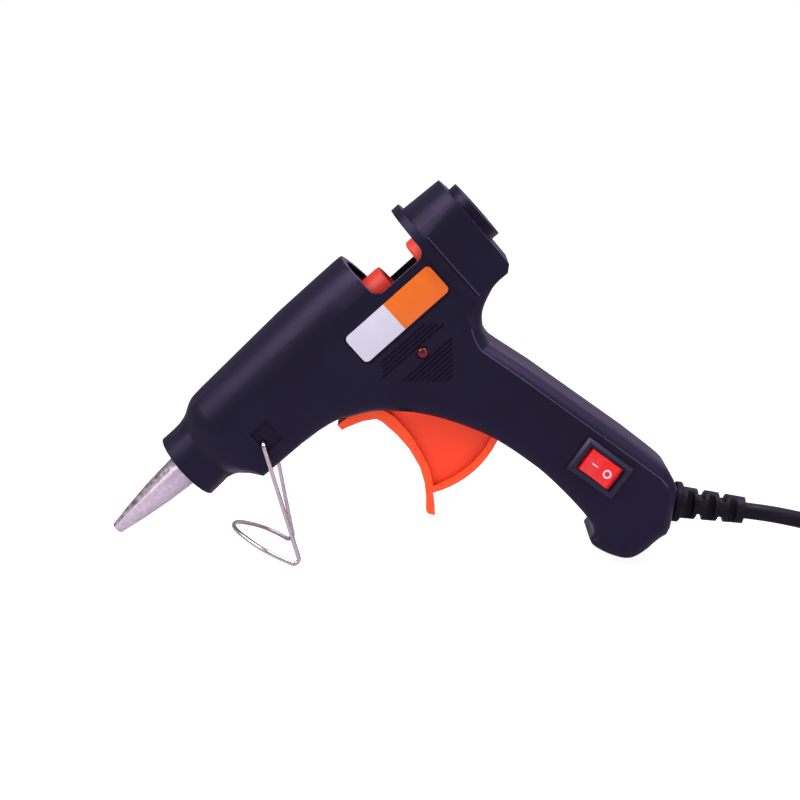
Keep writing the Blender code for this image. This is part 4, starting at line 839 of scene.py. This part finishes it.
# Red guides: glass-filled nylon that stands the heat. The inlet sleeve leads the glue stick
# into the melt chamber, and the carriage grips it in its ring.
red_nylon, spot = material("moulded_red_nylon")
cloud = noise(red_nylon, spot, 0.003, 4)
tone = mixed(red_nylon, cloud, "#d02814", "#e4381e")
dull = ranged(red_nylon, cloud, (0.3, 0.7), (0.42, 0.50))
fibre = noise(red_nylon, spot, 0.0004, 3)
fine = bumped(red_nylon, fibre, 0.2, 0.00004)
coat(red_nylon, {
    "IOR": 1.53, "Specular IOR Level": 0.35, "Subsurface Weight": 0.08, "Subsurface Scale": 0.001,
    "Base Color": tone, "Roughness": dull, "Normal": fine,
})
sleeve_radius, sleeve_groove = 0.0062, 0.0054
sleeve = turned("sleeve_guide", [
    (0.0723, bore), (0.0723, sleeve_radius), (0.0727, sleeve_radius), (0.0727, sleeve_groove),
    (0.0753, sleeve_groove), (0.0753, sleeve_radius), (0.1036, sleeve_radius), (0.1049, 0.0060),
    (0.1049, 0.0045), (0.1043, bore),
], 72)
sleeve.data.transform(barrel)
soften(sleeve, 0.00018)
fit(sleeve, red_nylon, "housing", "inlet_sleeve", slot="red_guide")
# the carriage's red is a little brighter
ring_nylon = red_nylon.copy()
ring_nylon.name = "moulded_bright_red_nylon"
for part in ring_nylon.node_tree.nodes:
    if part.type == "MIX":
        part.inputs[6].default_value = paint("#ee3c26")
        part.inputs[7].default_value = paint("#f54a30")
carriage = welded("stick_carriage", "carriage_moulding")
soften(carriage, 0.00016)
shape(carriage, "WEIGHTED_NORMAL", weight=50, keep_sharp=True)
fit(carriage, ring_nylon, "carriage", "stick_carriage", slot="red_guide")


# Return spring: music wire coiled cold, held between its seat in the housing and the carriage.
# In the tool the carriage pushes it together when the trigger is pulled; here it is built once at rest,
# fixed to the housing.
spring_steel = metal("music_wire", "#a5a3a6", 0.0005, 3, (0, 1), (0.22, 0.42))
spring_path = []
spring_start, spring_end, spring_level = 0.06581, 0.08385, -0.01047
spring_turns, spring_radius = 7, 0.00215
for k in range(spring_turns * 24 + 1):
    angle = 2 * math.pi * k / 24
    spring_path.append(barrel @ Vector((
        spring_start + (spring_end - spring_start) * k / (spring_turns * 24),
        spring_radius * math.sin(angle), spring_level + spring_radius * math.cos(angle),
    )))
spring = wire("feed_spring", spring_path, 0.00045, 3)
pick(spring)
bpy.ops.object.convert(target="MESH")
spring = bpy.context.object
fit(spring, spring_steel, "housing", "return_spring", slot="spring_steel")
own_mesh(spring)


# Trigger: one orange-red polypropylene moulding with a wide finger rim on a thinner web.
# It swings on a steel pin between the housing halves.
orange_pp, spot = material("moulded_orange_polypropylene")
cloud = noise(orange_pp, spot, 0.010, 4)
tone = mixed(orange_pp, cloud, "#f13a07", "#fc460c")
dull = ranged(orange_pp, cloud, (0.3, 0.7), (0.33, 0.44))
wax = noise(orange_pp, spot, 0.0006, 2)
fine = bumped(orange_pp, wax, 0.12, 0.00004)
# rim and flange stand prouder than the web; painted light makes them a little lighter and more orange
parts = add(orange_pp, "SeparateXYZ", {"Vector": spot})
breadth = calc(orange_pp, "ABSOLUTE", parts.outputs["Y"])
lit_proud_share = ranged(orange_pp, breadth, (0.0054, 0.0059), (0, 1))
tone = mixed(orange_pp, lit_proud_share, tone, "#f44c10")
# the faint orange emission is painted light: it lifts the web, which lies in the housing's shade
coat(orange_pp, {
    "IOR": 1.49, "Specular IOR Level": 0.35, "Subsurface Weight": 0.12, "Subsurface Scale": 0.0015,
    "Subsurface Radius": (1.0, 0.35, 0.15), "Emission Color": "#ff3616", "Emission Strength": 0.02,
    "Base Color": tone, "Roughness": dull, "Normal": fine,
})
finger_lever = welded("trigger", "trigger_moulding")
# the web's lowest corner runs down into the fork between flange and rim: place, then shift
corner_shifts = ((0.00107, 0.02324, 0.0003, -0.0023), (0.00461, 0.02234, -0.0024, -0.0012))
for vertex in finger_lever.data.vertices:
    for x, z, by_x, by_z in corner_shifts:
        if abs(vertex.co.y) > 0.0039 and math.hypot(vertex.co.x - x, vertex.co.z - z) < 0.0001:
            vertex.co += Vector((by_x, 0, by_z))
            break
soften(finger_lever, 0.00035, 3, 40)
shape(finger_lever, "WEIGHTED_NORMAL", weight=50, keep_sharp=True)
fit(finger_lever, orange_pp, "trigger", "trigger", slot="orange_trigger")


# Wire stand: one length of bright nickel-plated spring wire, bent to a loop, its two ends
# sprung into holes in the housing sides.
bright = metal("nickel_plated_wire", "#e2dcd8", 0.0012, 4, (0.3, 0.7), (0.16, 0.30))
stand_half = 0.0144
wire_radius = 0.0006
foot_x, foot_stagger, hook_length, hook_bend, foot_bend = -0.0370, 0.0020, 0.0040, 0.0016, 0.0034
stand_pivot = barrel @ Vector((0.050001, 0, -0.008105))
loop_tip = Vector((-0.0548, 0, 0.0087))
# the loop's half: share of the way from foot to tip, and share of the full half width
loop_shares = (
    (0.30, 1.00), (0.50, 0.93), (0.66, 0.79), (0.80, 0.60), (0.90, 0.44), (0.965, 0.28), (1.00, 0.10),
)


def rounded_corner(before, corner, after, radius, steps=8):
    """Points of the arc that replaces one corner of a bent wire."""
    a, b = (before - corner).normalized(), (after - corner).normalized()
    half = a.angle(b) / 2
    room = min((before - corner).length, (after - corner).length) * 0.45
    reach = min(radius / math.tan(half), room)
    first, last = corner + a * reach, corner + b * reach
    centre = corner + (a + b).normalized() * reach / math.cos(half)
    spokes = [first.lerp(last, k / steps) - centre for k in range(steps + 1)]
    return [centre + s.normalized() * reach * math.tan(half) for s in spokes]


def flowing(points, steps):
    """Points of a smooth line through the given ones."""
    ends = [points[0] * 2 - points[1]] + points + [points[-1] * 2 - points[-2]]
    out = [points[0]]
    for a, b, c, d in zip(ends, ends[1:], ends[2:], ends[3:]):
        out += sweep_points(b, (c - a) / 2, c, (d - b) / 2, steps)[1:]
    return out


def stand_line(foot_z):
    """The wire's line from hook to hook, with its two feet at a given height."""
    legs, halves = [], []
    for side in (-1, 1):
        foot = Vector((foot_x - side * foot_stagger, side * stand_half, foot_z))
        hook = Vector((stand_pivot.x, side * (stand_half - hook_length), stand_pivot.z))
        shoulder = Vector((stand_pivot.x, side * stand_half, stand_pivot.z))
        curve = []
        for share, breadth in loop_shares:
            p = foot.lerp(loop_tip, share)
            p.y = side * stand_half * breadth - 0.0015 * share
            curve.append(p)
        legs.append([hook] + rounded_corner(hook, shoulder, foot, hook_bend)
                    + rounded_corner(shoulder, foot, curve[0], foot_bend))
        halves.append(curve)
    return legs[0] + flowing(halves[0] + halves[1][::-1], 5) + legs[1][::-1]


foot_drop = wire_radius - min(p.z for p in stand_line(0))
stand = wire("stand_wire", stand_line(foot_drop), wire_radius, 6)
fit(stand, bright, "stand", "wire_stand", slot="bright_wire")


# Rocker switch: a black polycarbonate body snapped into the side, with a bevelled frame
# round a red rocker on two stub axles.
switch_black, spot = material("moulded_black_polycarbonate")
fog = noise(switch_black, spot, 0.0012, 4)
dull = ranged(switch_black, fog, (0, 1), (0.30, 0.42))
fine = bumped(switch_black, fog, 0.08, 0.00004)
coat(switch_black, {
    "Base Color": "#13111c", "IOR": 1.58, "Specular IOR Level": 0.45,
    "Specular Tint": "#dcd2ff", "Roughness": dull, "Normal": fine,
})
switch_lean = math.radians(12.3)
switch_place = Vector((0.114505, -0.0138, -0.074755))
long_way = Vector((math.sin(switch_lean), 0, -math.cos(switch_lean)))
short_way = Vector((-math.cos(switch_lean), 0, -math.sin(switch_lean)))
# the switch is modelled flat, its length on X, its width on Y and its face up Z, then stood up
stood = barrel @ Matrix((
    (long_way.x, short_way.x, 0, switch_place.x),
    (0, 0, -1, switch_place.y),
    (long_way.z, short_way.z, 0, switch_place.z),
    (0, 0, 0, 1),
))
frame_length, frame_width, frame_high = 0.0154, 0.0106, 0.0013
well_length, well_width, well_depth = 0.0116, 0.0073, 0.0044
edge_high, bevel_in, lip_width = 0.00045, 0.00105, 0.0004


def pick_top(mesh, level):
    """Selects the faces that look up from above a level, and opens the mesh for editing."""
    bpy.ops.object.mode_set(mode="EDIT")
    bpy.ops.mesh.select_all(action="DESELECT")
    bpy.ops.object.mode_set(mode="OBJECT")
    for face in mesh.polygons:
        face.select = face.normal.z > 0.99 and face.center.z > level
    bpy.ops.object.mode_set(mode="EDIT")


bezel = block((frame_length, frame_width, frame_high), (0, 0, frame_high / 2))
bezel.name = "switch_frame"
mesh = bezel.data
pick_top(mesh, 0)
bpy.ops.mesh.inset(thickness=0.00022, depth=0)
bpy.ops.object.mode_set(mode="OBJECT")
for vertex in mesh.vertices:
    outer = abs(vertex.co.x) > frame_length / 2 - 0.00005
    if outer and vertex.co.z > frame_high / 2:
        vertex.co.z = edge_high
    elif vertex.co.z > frame_high / 2:
        vertex.co.x = math.copysign(frame_length / 2 - bevel_in, vertex.co.x)
        vertex.co.y = math.copysign(frame_width / 2 - bevel_in, vertex.co.y)
pick_top(mesh, frame_high * 0.9)
bpy.ops.mesh.inset(thickness=lip_width, depth=0)
inner = (bevel_in + lip_width) * 2
shrink = (well_length / (frame_length - inner), well_width / (frame_width - inner), 1)
bpy.ops.transform.resize(value=shrink, center_override=(0, 0, frame_high))
bpy.ops.mesh.extrude_region_move(TRANSFORM_OT_translate={"value": (0, 0, -well_depth)})
bpy.ops.object.mode_set(mode="OBJECT")
box = block((0.0132, 0.0087, 0.0107), (0, 0, -0.00535))
carve(box, block((well_length, well_width, well_depth), (0, 0, frame_high - well_depth / 2)))
box.name = "switch_case"
box.data.transform(stood)
soften(box, 0.00015)
fit(box, switch_black, "housing", slot="switch_black")
bezel.data.transform(stood)
soften(bezel, 0.00012, 3, 15)
fit(bezel, switch_black, "housing", "switch_body", slot="switch_black")

# clear red polycarbonate, glossy, with pale printed marks
rocker_red, spot = material("moulded_red_polycarbonate")
cloud = noise(rocker_red, spot, 0.004, 3)
tone = mixed(rocker_red, cloud, "#c81010", "#d61c14")
dull = ranged(rocker_red, cloud, (0, 1), (0.20, 0.32))
coat(rocker_red, {
    "IOR": 1.58, "Subsurface Weight": 0.15, "Subsurface Scale": 0.001,
    "Subsurface Radius": (1.0, 0.2, 0.2), "Base Color": tone, "Roughness": dull,
})
rocker = welded("switch_rocker", "rocker_cap")
soften(rocker, 0.00025, 3, 20)
fit(rocker, rocker_red, "rocker", "switch_rocker", slot="rocker_red")

# the marks follow the rocker's two slopes
mark_ink, spot = material("pale_pink_marking_ink")
press = noise(mark_ink, spot, 0.0006, 3)
dull = ranged(mark_ink, press, (0, 1), (0.4, 0.6))
coat(mark_ink, {"Base Color": "#e8b4bc", "Roughness": dull})
hinge_rise = 0.0025
hinge_out = frame_high - hinge_rise
tilt = math.radians(8)
rocker_tilted = stood @ Matrix.Translation((0, 0, hinge_out)) @ Matrix.Rotation(-tilt, 4, "Y")
# each slope rises to the rocker's end, 5.5 mm from the hinge at 38 degrees
rocker_end = 0.0055 * math.cos(math.radians(38)), 0.0055 * math.sin(math.radians(38))
slope = math.atan2(rocker_end[1] - hinge_rise, rocker_end[0])
for name, side, spot_at in (("mark_on", -1, 0.0015), ("mark_off", 1, 0.0026)):
    if side < 0:
        mark = block((0.0020, 0.00036, 0.00008))
    else:
        bpy.ops.mesh.primitive_torus_add(major_radius=0.00098, minor_radius=0.00024, minor_segments=10)
        mark = bpy.context.object
        mark.scale = (1, 1, 0.25)
        bpy.ops.object.transform_apply()
    mark.name = name
    lift = hinge_rise + spot_at * math.tan(slope) + 0.00002
    on_slope = Matrix.Translation((side * spot_at, 0, lift)) @ Matrix.Rotation(-slope * side, 4, "Y")
    mark.data.transform(rocker_tilted @ on_slope)
    soften(mark, 0.00002 if side < 0 else 0)
    fit(mark, mark_ink, "rocker", slot="rocker_red")


# Indicator lamp: a 3 mm diode, its case cast of clear red epoxy.
# It is pushed from inside through a hole in the near half, up to its collar.
red_resin, spot = material("clear_red_epoxy")
depth = noise(red_resin, spot, 0.0010, 2)
tone = mixed(red_resin, depth, "#38020b", "#640514")
gloss = ranged(red_resin, depth, (0, 1), (0.06, 0.14))
coat(red_resin, {
    "IOR": 1.55, "Specular IOR Level": 0.3, "Coat Weight": 0.3, "Coat Roughness": 0.03,
    "Base Color": tone, "Roughness": gloss,
})
dome_foot, dome_high, lamp_radius = 0.0135, 0.0009, 0.0015
quarter = [math.pi / 20 * k for k in range(10)]
dome = [(dome_foot + dome_high * math.sin(a), lamp_radius * math.cos(a)) for a in quarter]
diode = turned("indicator_diode", [
    (0.0075, 0), (0.0075, lamp_radius), (0.0103, lamp_radius), (0.0103, 0.0021), (0.0112, 0.0021),
    (0.0112, lamp_radius),
] + dome + [(dome_foot + dome_high, 0)], 48)
seat = barrel @ Matrix.Translation((lamp_spot.x, 0, lamp_spot.y))
diode.data.transform(seat @ Matrix.Rotation(-math.pi / 2, 4, "Z"))
soften(diode, 0)
fit(diode, red_resin, "housing", "status_lamp", slot="lamp_red")


# Strain relief: a segmented black PVC boot, notched above, below and on both sides so that it
# bends, snapped by its flange in the butt.
boot = turned("strain_relief_boot", [
    (-0.0033, 0), (-0.0033, 0.0050), (-0.0023, 0.0050), (-0.0023, 0.0036), (0.0003, 0.0036),
    (0.0003, 0.0053), (0.0007, 0.0057), (0.0021, 0.0057), (0.0025, 0.0053), (0.0025, 0.00455),
    (0.0190, 0.00380), (0.0203, 0.00375), (0.0203, 0),
], 72)
# notches: share of the way along the boot, and 0 for above and below or 1 for both sides
for share, turn_to in ((0.30, 0), (0.64, 0), (0.13, 1), (0.47, 1), (0.81, 1)):
    for sign in (-1, 1):
        notch = block((0.0028, 0.0120, 0.0036), (0, 0, 0.0039))
        for vertex in notch.data.vertices:
            if vertex.co.z < 0.0035:
                vertex.co.x *= 0.55
        angle = math.pi / 2 * turn_to + math.pi * (sign < 0)
        at_share = Matrix.Translation((0.0025 + 0.0178 * share, 0, 0))
        notch.data.transform(at_share @ Matrix.Rotation(angle, 4, "X"))
        carve(boot, notch)
boot.data.transform(Matrix.Translation(relief_root) @ Matrix.Rotation(relief_drop, 4, "Y"))
soften(boot, 0.00015, 2, 30)
fit(boot, moulded_pvc, "housing", "strain_relief", slot="black_cord")


# Inner pieces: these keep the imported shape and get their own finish. The heater is a fired
# alumina block, the clip and pin are steel, the leads run in glass-braid sleeves.
alumina, spot = material("fired_alumina")
bake = noise(alumina, spot, 0.0015, 5)
tone = mixed(alumina, bake, "#cbc4b4", "#e2ddd0")
chalk = bumped(alumina, bake, 0.3, 0.00005)
coat(alumina, {"Roughness": 0.75, "Base Color": tone, "Normal": chalk})

braid, spot = material("glass_braid_sleeve")
# the braid shows as slanting bands
inputs = {"Vector": spot, "Scale": 1 / 0.012, "Distortion": 2, "Detail": 2}
weave = add(braid, "TexWave", inputs, bands_direction="DIAGONAL")
tone = mixed(braid, weave.outputs["Fac"], "#b9b3a6", "#ded9cd")
raised = bumped(braid, weave.outputs["Fac"], 0.4, 0.00008)
coat(braid, {"Roughness": 0.6, "Base Color": tone, "Normal": raised})

brass, spot = material("stamped_brass")
tarnish_and_shade = noise(brass, spot, 0.002, 5)
tone = mixed(brass, tarnish_and_shade, "#a9853f", "#dcc078")
dull = ranged(brass, tarnish_and_shade, (0, 1), (0.25, 0.45))
coat(brass, {"Metallic": 1.0, "Base Color": tone, "Roughness": dull})

lacquer, spot = material("tan_resistor_lacquer")
drip = noise(lacquer, spot, 0.001, 3)
tone = mixed(lacquer, drip, "#b98f62", "#d2ac7c")
coat(lacquer, {"Roughness": 0.45, "Base Color": tone})

for look, nodes in (
    (alumina, ("heater_element",)),
    (spring_steel, ("heater_clip", "trigger_pin")),
    (brass, ("terminal_upper", "terminal_lower")),
    (lacquer, ("lamp_resistor",)),
    (braid, ("lead_supply", "lead_heater", "lead_return", "lead_lamp")),
    (black_pvc, ("cord_tail",)),
    (switch_black, ("cord_clamp",)),
):
    for node in nodes:
        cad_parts[node].material_slots[0].material = look
